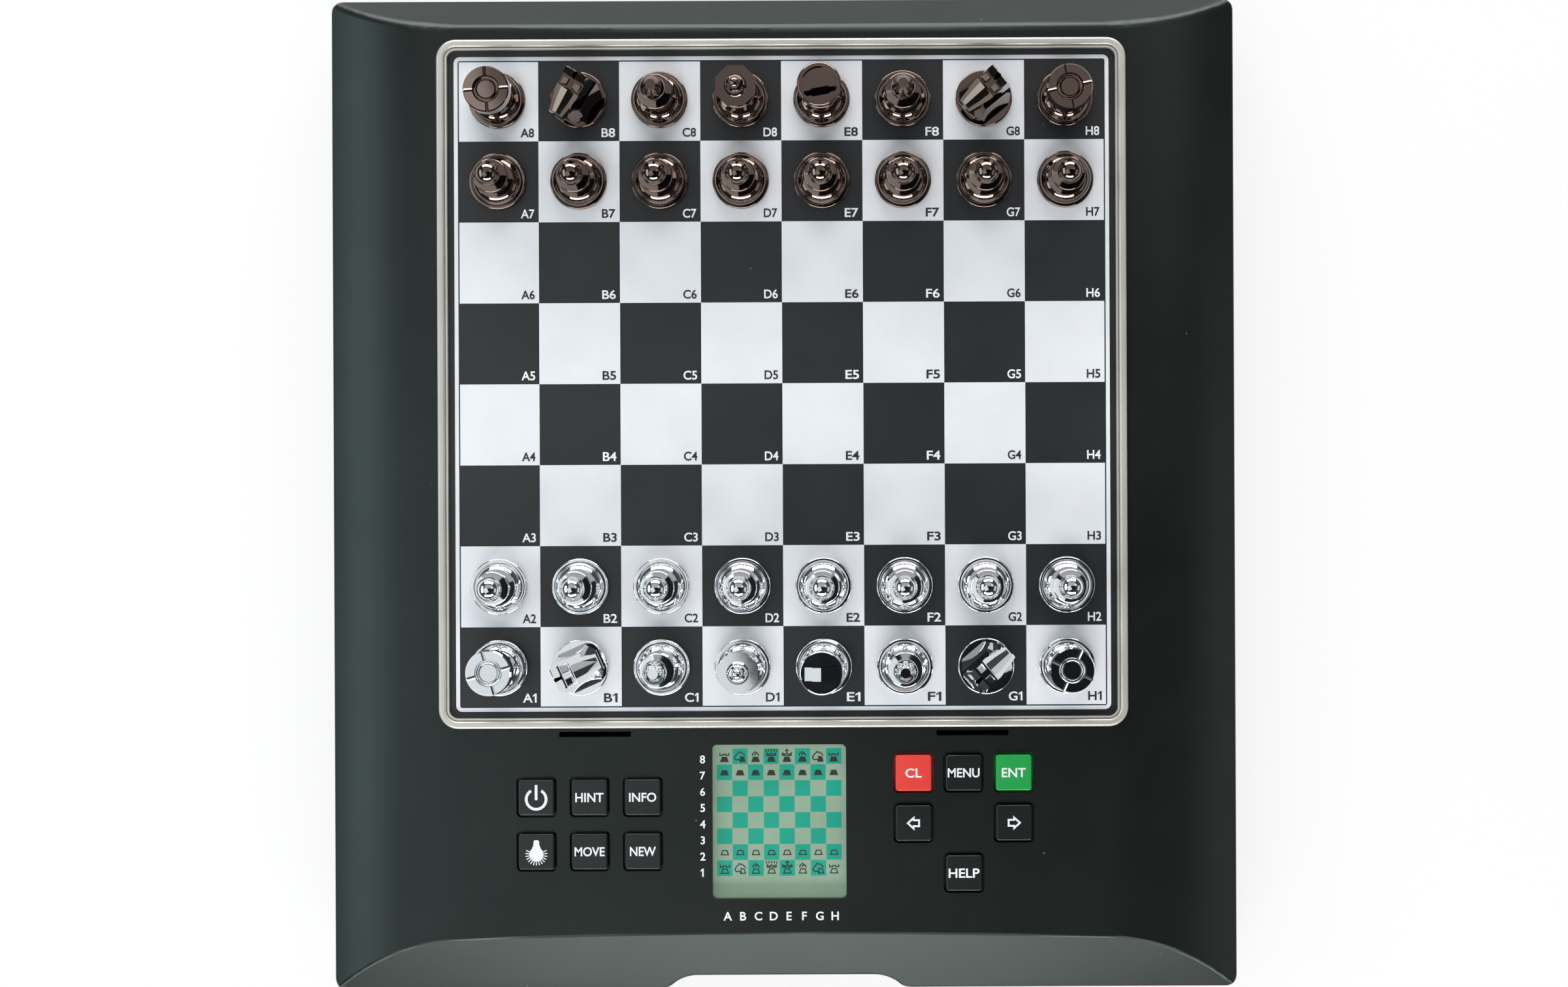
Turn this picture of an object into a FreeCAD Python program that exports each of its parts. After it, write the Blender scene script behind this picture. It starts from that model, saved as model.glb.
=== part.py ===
"""Electronic chess computer: sensor board, display, twelve keys, a drawer and a full set of pieces.

Millimetres. The origin is under the middle of the casing on the table, +X to the right,
+Y to the back and +Z up. Each physical piece is written to its own file.
"""
import FreeCAD, Part
import math
import os
from FreeCAD import Rotation, Vector

# Casing
CASE_WIDTH = 282.0
PANEL_Z = 37.0
WALL = 2.2
CORNER_RADIUS = 3.5
SIDE_RUN = 40.0
SIDE_DROP = 10.0
FRONT_RUN = 19.0
BACK_RUN = 10.5
FRONT_BOW = 3.0
BACK_BOW = 1.2
FRONT_CREASE_RADIUS = 1.7
BACK_CREASE_RADIUS = 4.0
RIM_RADIUS = 1.0
PARTING_Z = 17.0
PARTING_GAP = 0.4
TONGUE = 1.0
TONGUE_RISE = 2.0
FLOOR_THICKNESS = 2.2
FLOOR_CHAMFER = 2.5
FIT = 0.2
TOUCH = 0.01

# Finger notch in the front edge
NOTCH_FLAT = 54.6
NOTCH_DEPTH = 4.5
NOTCH_TOE_RADIUS = 5.0
NOTCH_SHOULDER_RADIUS = 12.0

# Feet and casing screws
FOOT_HEIGHT = 2.0
FOOT_RADIUS = 6.0
FOOT_RECESS = 0.8
FOOT_INSET_X = 22.0
FOOT_INSET_Y = 24.0
SCREW_RADIUS = 1.45
SCREW_HEAD_RADIUS = 2.8
SCREW_HEAD_HEIGHT = 2.0
SCREW_LENGTH = 16.0
SCREW_SEAT = 7.0
SCREW_SLOT = 0.7
BOSS_RADIUS = 4.6
BOSS_INSET_X = 12.0
BOSS_INSET_Y = 14.0
THREAD_CLEARANCE = 0.05

# Playing field
SQUARE = 25.0
RANKS = 8
BOARD_BACK_MARGIN = 14.05
BEZEL_OUTER = 212.5
BEZEL_BAND = 3.2
BEZEL_CORNER = 6.0
BEZEL_CROWN = 1.2
BEZEL_LIP = 0.5
BEZEL_LIP_STEP = 0.4
BEZEL_GROOVE = 0.3
BEZEL_GROOVE_DEPTH = 0.8
BEZEL_ROUND = 0.8
SURFACE_RECESS = 0.8
SURFACE_THICKNESS = 0.5
SURFACE_TUCK = 1.15
SURFACE_CORNER = 3.6
SENSOR_THICKNESS = 2.0
POCKET_FLOOR = 2.0
TAIL_WIDTH = 8.0
TAIL_X = 26.5
TAIL_THICKNESS = 0.3
TAIL_INSET = 2.5
SLOT_LENGTH = 22.2
SLOT_WIDTH = 1.65
SLOT_X = 58.2
SLOT_OFFSET = 1.85

# Control panel
CONTROL_STRIP = 82.45
CONTROL_BACK = 29.55
LEFT_KEYS_X = -59.9
LEFT_PITCH_X = 16.4
LEFT_PITCH_Y = 16.7
RIGHT_KEYS_X = 55.4
RIGHT_PITCH = 15.45
KEY_SIZE = 11.0
KEY_CORNER = 0.8
KEY_BEVEL = 0.45
KEY_PROUD = 1.0
KEY_HOLE = 12.5
KEY_HOLE_CORNER = 1.6
KEY_FLANGE = 13.8
KEY_FLANGE_THICKNESS = 1.0
DOME_GAP = 0.05
DOME_HEIGHT = 1.85
DOME_BASE_RADIUS = 4.0
DOME_TOP_RADIUS = 2.6
MAT_THICKNESS = 0.8
MAT_MARGIN = 7.6

# Display
WINDOW_X = -1.5
WINDOW_BACK_SHIFT = 0.5
WINDOW_WIDTH = 41.3
WINDOW_DEPTH = 47.6
WINDOW_CORNER = 1.5
LENS_OVERLAP = 1.8
LENS_THICKNESS = 1.0
LENS_GAP = 0.1
DISPLAY_INSET = 0.8

# Main circuit board
PCB_WIDTH = 180.0
PCB_DEPTH = 53.0
PCB_X = -2.0
PCB_THICKNESS = 1.6
PCB_CORNER = 2.0
POST_RADIUS = 2.6
POST_INSET = 4.0
PIN_RADIUS = 1.2
PIN_LENGTH = 2.6
PIN_CLEARANCE = 0.15
CHIP_SIZE = 14.0
CHIP_HEIGHT = 1.6
CHIP_X = -30.0
MEMORY_WIDTH = 10.0
MEMORY_DEPTH = 6.0
MEMORY_X = -52.0
BUZZER_RADIUS = 6.0
BUZZER_HEIGHT = 3.0
BUZZER_X = 30.0

# Drawer for the chess pieces
DRAWER_WIDTH = 146.0
DRAWER_LENGTH = 160.0
DRAWER_WALL = 1.8
DRAWER_FLOOR = 1.6
DRAWER_CLEARANCE = 0.3
DRAWER_SETBACK = 0.9
DRAWER_CORNER = 2.0
LIP_THICKNESS = 1.7
RAIL_THICKNESS = 2.0
RAIL_HEIGHT = 10.0
PULL_WIDTH = 56.0
PULL_HEIGHT = 11.0
PULL_DEPTH = 6.5

# Batteries and their hatch
CELL_RADIUS = 7.25
CELL_LENGTH = 50.5
CELL_PITCH = 15.0
CELL_COUNT = 3
CELL_NUB_RADIUS = 2.6
CELL_NUB_LENGTH = 1.2
CELL_CLEARANCE = 0.3
CONTACT_ROOM = 2.4
CONTACT_THICKNESS = 0.5
CONTACT_HEIGHT = 11.0
CONTACT_WIDTH = 10.0
CONTACT_BUMP_RADIUS = 2.4
BATTERY_BACK = 62.0
BATTERY_WALL = 1.8
HATCH_THICKNESS = 2.0
HATCH_CLEARANCE = 0.3
HATCH_TAB_WIDTH = 8.0
HATCH_TAB_LENGTH = 3.0
HATCH_TAB_THICKNESS = 1.2
HATCH_TAB_SPREAD = 28.0
HATCH_TAB_ROOM = 5.0
HATCH_GRIP_WIDTH = 16.0
HATCH_GRIP_DEPTH = 4.0
HATCH_GRIP_CUT = 0.8

# Power inlet
INLET_X = -70.0
INLET_WIDTH = 9.0
INLET_LENGTH = 13.0
INLET_HEIGHT = 11.0
INLET_AXIS_RISE = 6.0
INLET_SEAT = 0.8
INLET_BORE = 3.1
INLET_BORE_DEPTH = 9.0
INLET_PIN = 1.0
INLET_OPENING = 4.3
INLET_RIB = 1.6
INLET_RIB_HEIGHT = 5.0

# Chess pieces: every base is the same
BASE_RADIUS = 8.7
BASE_RIM = 1.5
BASE_CHAMFER = 0.4
SHOULDER_RADIUS = 7.9
SHOULDER_Z = 2.0
SKIRT_RADIUS = 5.2
SKIRT_Z = 6.2
SKIRT_BULGE = 0.8
STEM_Z = 7.4
PAWN_NECK_Z = 13.2
PAWN_COLLAR_RADIUS = 4.9
PAWN_BALL_RADIUS = 3.8
PAWN_HEIGHT = 22.8
ROOK_HEIGHT = 21.5
ROOK_TURRET_RADIUS = 6.9
ROOK_TURRET = 5.1
ROOK_WELL_RADIUS = 4.1
ROOK_WELL = 1.3
ROOK_WELL_ROUND = 0.6
ROOK_DISC_RADIUS = 2.6
ROOK_GROOVE = 1.0
ROOK_GROOVE_DEPTH = 0.4
BISHOP_NECK_Z = 14.6
BISHOP_COLLAR_RADIUS = 5.1
BISHOP_MITRE_RADIUS = 3.7
BISHOP_TIP_RADIUS = 1.5
BISHOP_HEIGHT = 28.5
BISHOP_SLIT = 0.7
BISHOP_SLIT_TILT = 35.0
QUEEN_NECK_Z = 16.8
QUEEN_COLLAR_RADIUS = 5.2
QUEEN_CORONET_RADIUS = 6.5
QUEEN_CORONET_Z = 25.4
QUEEN_CORONET_SIDES = 8
QUEEN_HUB_RADIUS = 4.0
QUEEN_HUB_DISH = 0.5
QUEEN_BALL_RADIUS = 1.9
QUEEN_HEIGHT = 31.6
KING_NECK_Z = 18.0
KING_COLLAR_RADIUS = 5.6
KING_CUP_RADIUS = 6.6
KING_CUP_Z = 27.6
KING_WELL_RADIUS = 5.2
KING_WELL = 1.4
KING_CROSS_SPAN = 9.8
KING_CROSS_THICKNESS = 4.0
KING_CROSS_BAR_Z = 28.2
KING_CROSS_BAR = 2.6
KING_CROSS_PITCH = 0.2
KING_UPRIGHT = 5.4
KING_HEIGHT = 33.0
KNIGHT_HEIGHT = 25.6
KNIGHT_WIDTH = 7.8
KNIGHT_NOSE_WIDTH = 4.4
KNIGHT_BODY_WIDTH = 13.0
KNIGHT_BODY_RADIUS = 7.7
KNIGHT_JAW_Z = 12.6
KNIGHT_EAR_GAP = 1.6

# Levels worked out from the sizes above
CASE_DEPTH = BOARD_BACK_MARGIN + BEZEL_OUTER + CONTROL_STRIP
RIM_Z = PANEL_Z - SIDE_DROP
PANEL_UNDER_Z = PANEL_Z - WALL
FLOOR_Z = FOOT_HEIGHT
FLOOR_TOP_Z = FLOOR_Z + FLOOR_THICKNESS
BOARD_Y = CASE_DEPTH / 2 - BOARD_BACK_MARGIN - BEZEL_OUTER / 2
SURFACE_Z = PANEL_Z - SURFACE_RECESS
SENSOR_TOP_Z = SURFACE_Z - SURFACE_THICKNESS
POCKET_Z = SENSOR_TOP_Z - SENSOR_THICKNESS
SURFACE_WIDTH = BEZEL_OUTER - 2 * BEZEL_BAND + 2 * SURFACE_TUCK
POCKET_WIDTH = SURFACE_WIDTH + 2 * FIT
CONTROL_Y = BOARD_Y - BEZEL_OUTER / 2 - CONTROL_BACK
WINDOW_Y = CONTROL_Y + WINDOW_BACK_SHIFT
FLANGE_TOP_Z = PANEL_UNDER_Z - FIT
FLANGE_Z = FLANGE_TOP_Z - KEY_FLANGE_THICKNESS
MAT_TOP_Z = FLANGE_Z - DOME_GAP - DOME_HEIGHT
PCB_TOP_Z = MAT_TOP_Z - MAT_THICKNESS
PCB_Z = PCB_TOP_Z - PCB_THICKNESS
LENS_TOP_Z = PANEL_UNDER_Z - LENS_GAP
LENS_Z = LENS_TOP_Z - LENS_THICKNESS
LIP_Z = RIM_Z - LIP_THICKNESS
DRAWER_TOP_Z = LIP_Z - DRAWER_CLEARANCE
DRAWER_Z = FLOOR_TOP_Z + DRAWER_CLEARANCE
DRAWER_FRONT_Y = -CASE_DEPTH / 2 + NOTCH_DEPTH + DRAWER_SETBACK
DRAWER_BACK_Y = DRAWER_FRONT_Y + DRAWER_LENGTH
BAY_HALF = DRAWER_WIDTH / 2 + DRAWER_CLEARANCE
BATTERY_Y = CASE_DEPTH / 2 - BATTERY_BACK
BATTERY_HALF_X = CELL_LENGTH / 2 + CONTACT_ROOM
BATTERY_HALF_Y = (CELL_COUNT - 1) * CELL_PITCH / 2 + CELL_RADIUS + CELL_CLEARANCE
CELL_Z = FLOOR_TOP_Z + CELL_CLEARANCE + CELL_RADIUS
BATTERY_ROOF_Z = CELL_Z + CELL_RADIUS + CELL_CLEARANCE
HATCH_BACK_Y = BATTERY_Y + BATTERY_HALF_Y - HATCH_CLEARANCE
SCREW_SEAT_Z = FLOOR_Z + SCREW_SEAT
INLET_Z = FLOOR_TOP_Z + INLET_SEAT
INLET_BACK_Y = CASE_DEPTH / 2 - WALL

KEY_PLACES = {
    "key_power": (LEFT_KEYS_X - LEFT_PITCH_X, CONTROL_Y + LEFT_PITCH_Y / 2),
    "key_hint": (LEFT_KEYS_X, CONTROL_Y + LEFT_PITCH_Y / 2),
    "key_info": (LEFT_KEYS_X + LEFT_PITCH_X, CONTROL_Y + LEFT_PITCH_Y / 2),
    "key_light": (LEFT_KEYS_X - LEFT_PITCH_X, CONTROL_Y - LEFT_PITCH_Y / 2),
    "key_move": (LEFT_KEYS_X, CONTROL_Y - LEFT_PITCH_Y / 2),
    "key_new": (LEFT_KEYS_X + LEFT_PITCH_X, CONTROL_Y - LEFT_PITCH_Y / 2),
    "key_clear": (RIGHT_KEYS_X - RIGHT_PITCH, CONTROL_Y + RIGHT_PITCH),
    "key_menu": (RIGHT_KEYS_X, CONTROL_Y + RIGHT_PITCH),
    "key_enter": (RIGHT_KEYS_X + RIGHT_PITCH, CONTROL_Y + RIGHT_PITCH),
    "key_left": (RIGHT_KEYS_X - RIGHT_PITCH, CONTROL_Y),
    "key_right": (RIGHT_KEYS_X + RIGHT_PITCH, CONTROL_Y),
    "key_help": (RIGHT_KEYS_X, CONTROL_Y - RIGHT_PITCH),
}
BACK_RANK = ("rook", "knight", "bishop", "queen", "king", "bishop", "knight", "rook")
FILE_LETTERS = "abcdefgh"
# Turn of the pieces that aren't round, in degrees; a knight looks along +X before its turn
PIECE_TURNS = {
    "black_rook_a8": 4.0,
    "black_knight_b8": -123.0,
    "black_king_e8": 10.0,
    "black_knight_g8": -141.0,
    "black_rook_h8": 12.0,
    "white_rook_a1": 16.0,
    "white_knight_b1": 24.0,
    "white_knight_g1": 40.0,
    "white_rook_h1": -25.0,
}


# Plain building shapes
def box(x0, x1, y0, y1, z0, z1):
    """Block between two corners."""
    return Part.makeBox(x1 - x0, y1 - y0, z1 - z0, Vector(x0, y0, z0))


def column(radius, x, y, z0, z1):
    """Upright cylinder between two heights."""
    return Part.makeCylinder(radius, z1 - z0, Vector(x, y, z0))


def line(start, end):
    """Straight edge."""
    return Part.LineSegment(start, end).toShape()


def turn(centre, radius, start, end, z):
    """Level arc round a centre from one angle to another, in radians."""
    angles = (start, (start + end) / 2, end)
    stops = [Vector(centre[0] + radius * math.cos(a), centre[1] + radius * math.sin(a), z) for a in angles]
    return Part.Arc(*stops).toShape()


def slab(width, depth, radius, x, y, z0, z1):
    """Rounded rectangle round (x, y), between two heights."""
    reach_x = width / 2 - radius
    reach_y = depth / 2 - radius
    quarter = math.pi / 2
    corners = ((1, 1), (-1, 1), (-1, -1), (1, -1))
    arcs = []
    for count, (side, end) in enumerate(corners):
        centre = (x + side * reach_x, y + end * reach_y)
        arcs.append(turn(centre, radius, count * quarter, (count + 1) * quarter, z0))
    edges = []
    for count, arc in enumerate(arcs):
        following = arcs[(count + 1) % len(arcs)]
        edges += [arc, line(arc.lastVertex().Point, following.firstVertex().Point)]
    return Part.Face(Part.Wire(edges)).extrude(Vector(0, 0, z1 - z0))


def polygon_prism(points, direction):
    """Straight-edged outline pushed along a direction."""
    return Part.Face(Part.makePolygon(points + points[:1])).extrude(direction)


def lathe(outline):
    """Solid turned round Z. A stop is (radius, height), with the arc's bulge as a third value."""
    edges = []
    for before, after in zip(outline, outline[1:] + outline[:1]):
        start = Vector(before[0], 0, before[1])
        end = Vector(after[0], 0, after[1])
        run = end - start
        if len(after) == 2:
            edges.append(line(start, end))
        else:
            outward = Vector(run.z, 0, -run.x).normalize()
            edges.append(Part.Arc(start, (start + end) * 0.5 + outward * after[2], end).toShape())
    return Part.Face(Part.Wire(edges)).revolve(Vector(0, 0, 0), Vector(0, 0, 1), 360)


# Casing form
def roll_radius():
    """Radius of the panel's sides, which roll down to the rim."""
    return (SIDE_RUN ** 2 + SIDE_DROP ** 2) / (2 * SIDE_DROP)


def arch_height(x):
    """Height of the casing's top at a distance from the middle."""
    over = max(0.0, abs(x) - CASE_WIDTH / 2 + SIDE_RUN)
    return PANEL_Z - roll_radius() + math.sqrt(roll_radius() ** 2 - over ** 2)


def arch_block(inset):
    """Arched cross-section run from front to back, past the casing's own edges."""
    overrun = 2 * WALL
    flat = CASE_WIDTH / 2 - SIDE_RUN
    outer = CASE_WIDTH / 2 + overrun
    front = -CASE_DEPTH / 2 - overrun
    radius = roll_radius() - inset
    sweep = math.asin((outer - flat) / radius)

    def roll_stop(side, angle):
        rise = PANEL_Z - roll_radius() + radius * math.cos(angle)
        return Vector(side * (flat + radius * math.sin(angle)), front, rise)

    left = [roll_stop(-1, angle) for angle in (sweep, sweep / 2, 0)]
    right = [roll_stop(1, angle) for angle in (0, sweep / 2, sweep)]
    low_left = Vector(-outer, front, 0)
    low_right = Vector(outer, front, 0)
    edges = [line(low_left, left[0]), Part.Arc(*left).toShape(), line(left[2], right[0])]
    edges += [Part.Arc(*right).toShape(), line(right[2], low_right), line(low_right, low_left)]
    return Part.Face(Part.Wire(edges)).extrude(Vector(0, CASE_DEPTH + 2 * overrun, 0))


def bevel_cutter(end, run, bow, inset):
    """What a slanted end face takes off. It climbs from a straight rim to a bowed crease."""
    reach = CASE_WIDTH / 2 + 4 * WALL
    sag = bow * (2 * reach / CASE_WIDTH) ** 2
    sink = inset * math.hypot(1, SIDE_DROP / run)
    beyond = end * (CASE_DEPTH / 2 + 2 * run)
    wires = []
    for climb in (-1, 2):
        z = RIM_Z + climb * SIDE_DROP - sink
        middle = Vector(0, end * (CASE_DEPTH / 2 - climb * run), z)
        left = Vector(-reach, end * (CASE_DEPTH / 2 - climb * (run - sag)), z)
        right = Vector(reach, left.y, z)
        far_right = Vector(reach, beyond, z)
        far_left = Vector(-reach, beyond, z)
        edges = [Part.Arc(left, middle, right).toShape(), line(right, far_right)]
        edges += [line(far_right, far_left), line(far_left, left)]
        wires.append(Part.Wire(edges))
    return Part.makeLoft(wires, True, True)


def notched_plan(z0, z1):
    """Casing seen from above, with the finger notch in its front edge, as a prism."""
    half_x = CASE_WIDTH / 2
    half_y = CASE_DEPTH / 2
    reach_x = half_x - CORNER_RADIUS
    reach_y = half_y - CORNER_RADIUS
    quarter = math.pi / 2
    both = NOTCH_TOE_RADIUS + NOTCH_SHOULDER_RADIUS
    lean = math.acos(1 - NOTCH_DEPTH / both)
    flat = NOTCH_FLAT / 2
    mouth = flat + both * math.sin(lean)
    toe_y = -half_y + NOTCH_TOE_RADIUS
    shoulder_y = -half_y + NOTCH_DEPTH - NOTCH_SHOULDER_RADIUS
    arcs = [
        turn((-mouth, toe_y), NOTCH_TOE_RADIUS, -quarter, -quarter + lean, z0),
        turn((-flat, shoulder_y), NOTCH_SHOULDER_RADIUS, quarter + lean, quarter, z0),
        turn((flat, shoulder_y), NOTCH_SHOULDER_RADIUS, quarter, quarter - lean, z0),
        turn((mouth, toe_y), NOTCH_TOE_RADIUS, -quarter - lean, -quarter, z0),
        turn((reach_x, -reach_y), CORNER_RADIUS, -quarter, 0, z0),
        turn((reach_x, reach_y), CORNER_RADIUS, 0, quarter, z0),
        turn((-reach_x, reach_y), CORNER_RADIUS, quarter, 2 * quarter, z0),
        turn((-reach_x, -reach_y), CORNER_RADIUS, 2 * quarter, 3 * quarter, z0),
    ]
    edges = []
    for count, arc in enumerate(arcs):
        edges.append(arc)
        here = arc.valueAt(arc.LastParameter)
        following = arcs[(count + 1) % len(arcs)]
        there = following.valueAt(following.FirstParameter)
        if here.distanceToPoint(there) > TOUCH:
            edges.append(line(here, there))
    return Part.Face(Part.Wire(edges)).extrude(Vector(0, 0, z1 - z0))


def edge_stops(edge):
    """Start, middle and end of an edge."""
    first, last = edge.FirstParameter, edge.LastParameter
    return [edge.valueAt(p) for p in (first, (first + last) / 2, last)]


def crease_edges(form, end):
    """Edges where the arched top meets the slanted face at one end."""
    picked = []
    for edge in form.Edges:
        stops = edge_stops(edge)
        on_top = all(abs(p.z - arch_height(p.x)) < TOUCH for p in stops)
        if on_top and all(p.y * end > 0 for p in stops):
            picked.append(edge)
    return picked


def is_upright(face):
    """True for a face whose middle points sideways."""
    u0, u1, v0, v1 = face.ParameterRange
    return abs(face.normalAt((u0 + u1) / 2, (v0 + v1) / 2).z) < TOUCH


def rim_edges(form):
    """Edges all round the casing where the sloping top meets the upright walls."""
    picked = []
    for edge in form.Edges:
        high = min(p.z for p in edge_stops(edge)) > PARTING_Z
        upright = [is_upright(face) for face in form.ancestorsOfType(edge, Part.Face)]
        if high and upright.count(True) == 1:
            picked.append(edge)
    return picked


def casing_top(inset):
    """Arched top with both slanted ends, still wider than the casing."""
    form = arch_block(inset)
    front = bevel_cutter(-1, FRONT_RUN, FRONT_BOW, inset)
    back = bevel_cutter(1, BACK_RUN, BACK_BOW, inset)
    return form.cut([front, back])


def casing_outside():
    """Outer form of the upper shell with its rounded creases and rim."""
    form = casing_top(0)
    form = form.makeFillet(FRONT_CREASE_RADIUS, crease_edges(form, -1))
    form = form.makeFillet(BACK_CREASE_RADIUS, crease_edges(form, 1))
    form = form.common(notched_plan(PARTING_Z, PANEL_Z + WALL))
    return form.makeFillet(RIM_RADIUS, rim_edges(form))


def boss_places():
    """Where the casing screws stand."""
    side = CASE_WIDTH / 2 - BOSS_INSET_X
    end = CASE_DEPTH / 2 - BOSS_INSET_Y
    return [(x, y) for y in (-end, 0, end) for x in (-side, side)]


def post_places():
    """Where the circuit board hangs from the panel."""
    side = PCB_WIDTH / 2 - POST_INSET
    end = PCB_DEPTH / 2 - POST_INSET
    return [(PCB_X + x, CONTROL_Y + y) for y in (-end, end) for x in (-side, side)]


def drawer_bay(z0, z1):
    """Way through the front wall for the drawer."""
    return box(-BAY_HALF, BAY_HALF, -CASE_DEPTH, DRAWER_FRONT_Y + WALL, z0, z1)


# Casing shells
def top_case():
    """Upper shell: control panel, board pocket, key holes and bosses."""
    inner_corner = max(CORNER_RADIUS - WALL, TONGUE)
    hollow = casing_top(WALL).common(
        slab(CASE_WIDTH - 2 * WALL, CASE_DEPTH - 2 * WALL, inner_corner, 0, 0, 0, PANEL_Z))
    shell = casing_outside().cut(hollow)

    tub_width = POCKET_WIDTH + 2 * WALL
    tub_floor = POCKET_Z - POCKET_FLOOR
    added = [slab(tub_width, tub_width, SURFACE_CORNER + WALL, 0, BOARD_Y, tub_floor, SURFACE_Z)]
    skin_inside = casing_top(WALL / 2)
    for x, y in boss_places():
        added.append(column(BOSS_RADIUS, x, y, PARTING_Z, PANEL_Z).common(skin_inside))
    for x, y in post_places():
        added.append(column(POST_RADIUS, x, y, PCB_TOP_Z, PANEL_Z - WALL / 2))
        added.append(column(PIN_RADIUS, x, y, PCB_TOP_Z - PIN_LENGTH, PCB_TOP_Z))
    shell = shell.fuse(added)

    seat = BEZEL_OUTER + 2 * FIT
    removed = [
        slab(POCKET_WIDTH, POCKET_WIDTH, SURFACE_CORNER + FIT, 0, BOARD_Y, POCKET_Z, PANEL_Z + WALL),
        slab(seat, seat, BEZEL_CORNER + FIT, 0, BOARD_Y, SURFACE_Z, PANEL_Z + WALL),
        slab(WINDOW_WIDTH, WINDOW_DEPTH, WINDOW_CORNER, WINDOW_X, WINDOW_Y,
             PANEL_UNDER_Z - WALL, PANEL_Z + WALL),
        drawer_bay(0, LIP_Z),
    ]
    for x, y in KEY_PLACES.values():
        removed.append(slab(KEY_HOLE, KEY_HOLE, KEY_HOLE_CORNER, x, y, PANEL_UNDER_Z - FIT, PANEL_Z + WALL))
    slot_y = BOARD_Y - BEZEL_OUTER / 2 - SLOT_OFFSET
    for side in (-1, 1):
        removed.append(slab(SLOT_LENGTH, SLOT_WIDTH, SLOT_WIDTH / 4, side * SLOT_X, slot_y,
                            PANEL_UNDER_Z - FIT, PANEL_Z + WALL))
    for x, y in boss_places():
        tip = SCREW_SEAT_Z + SCREW_LENGTH + FIT
        removed.append(column(SCREW_RADIUS + THREAD_CLEARANCE, x, y, PARTING_Z, tip))
    tail_y = BOARD_Y - POCKET_WIDTH / 2 + TAIL_INSET
    removed.append(box(TAIL_X - TAIL_WIDTH / 2 - FIT, TAIL_X + TAIL_WIDTH / 2 + FIT, tail_y - FIT,
                       tail_y + TAIL_THICKNESS + FIT, POCKET_Z - 2 * POCKET_FLOOR, POCKET_Z))
    return shell.cut(removed)


def tongue_ring():
    """Lip of the lower shell that stands behind the upper shell's wall."""
    rings = []
    for inset, z0, z1 in ((WALL - FIT, PARTING_Z - 2 * TONGUE_RISE, PARTING_Z - PARTING_GAP),
                          (WALL + FIT, PARTING_Z - 2 * TONGUE_RISE, PARTING_Z + TONGUE_RISE)):
        inner = WALL + FIT + TONGUE
        outside = slab(CASE_WIDTH - 2 * inset, CASE_DEPTH - 2 * inset, TONGUE + FIT, 0, 0, z0, z1)
        inside = slab(CASE_WIDTH - 2 * inner, CASE_DEPTH - 2 * inner, TONGUE, 0, 0, z0, z1)
        rings.append(outside.cut(inside))
    return rings


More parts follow.
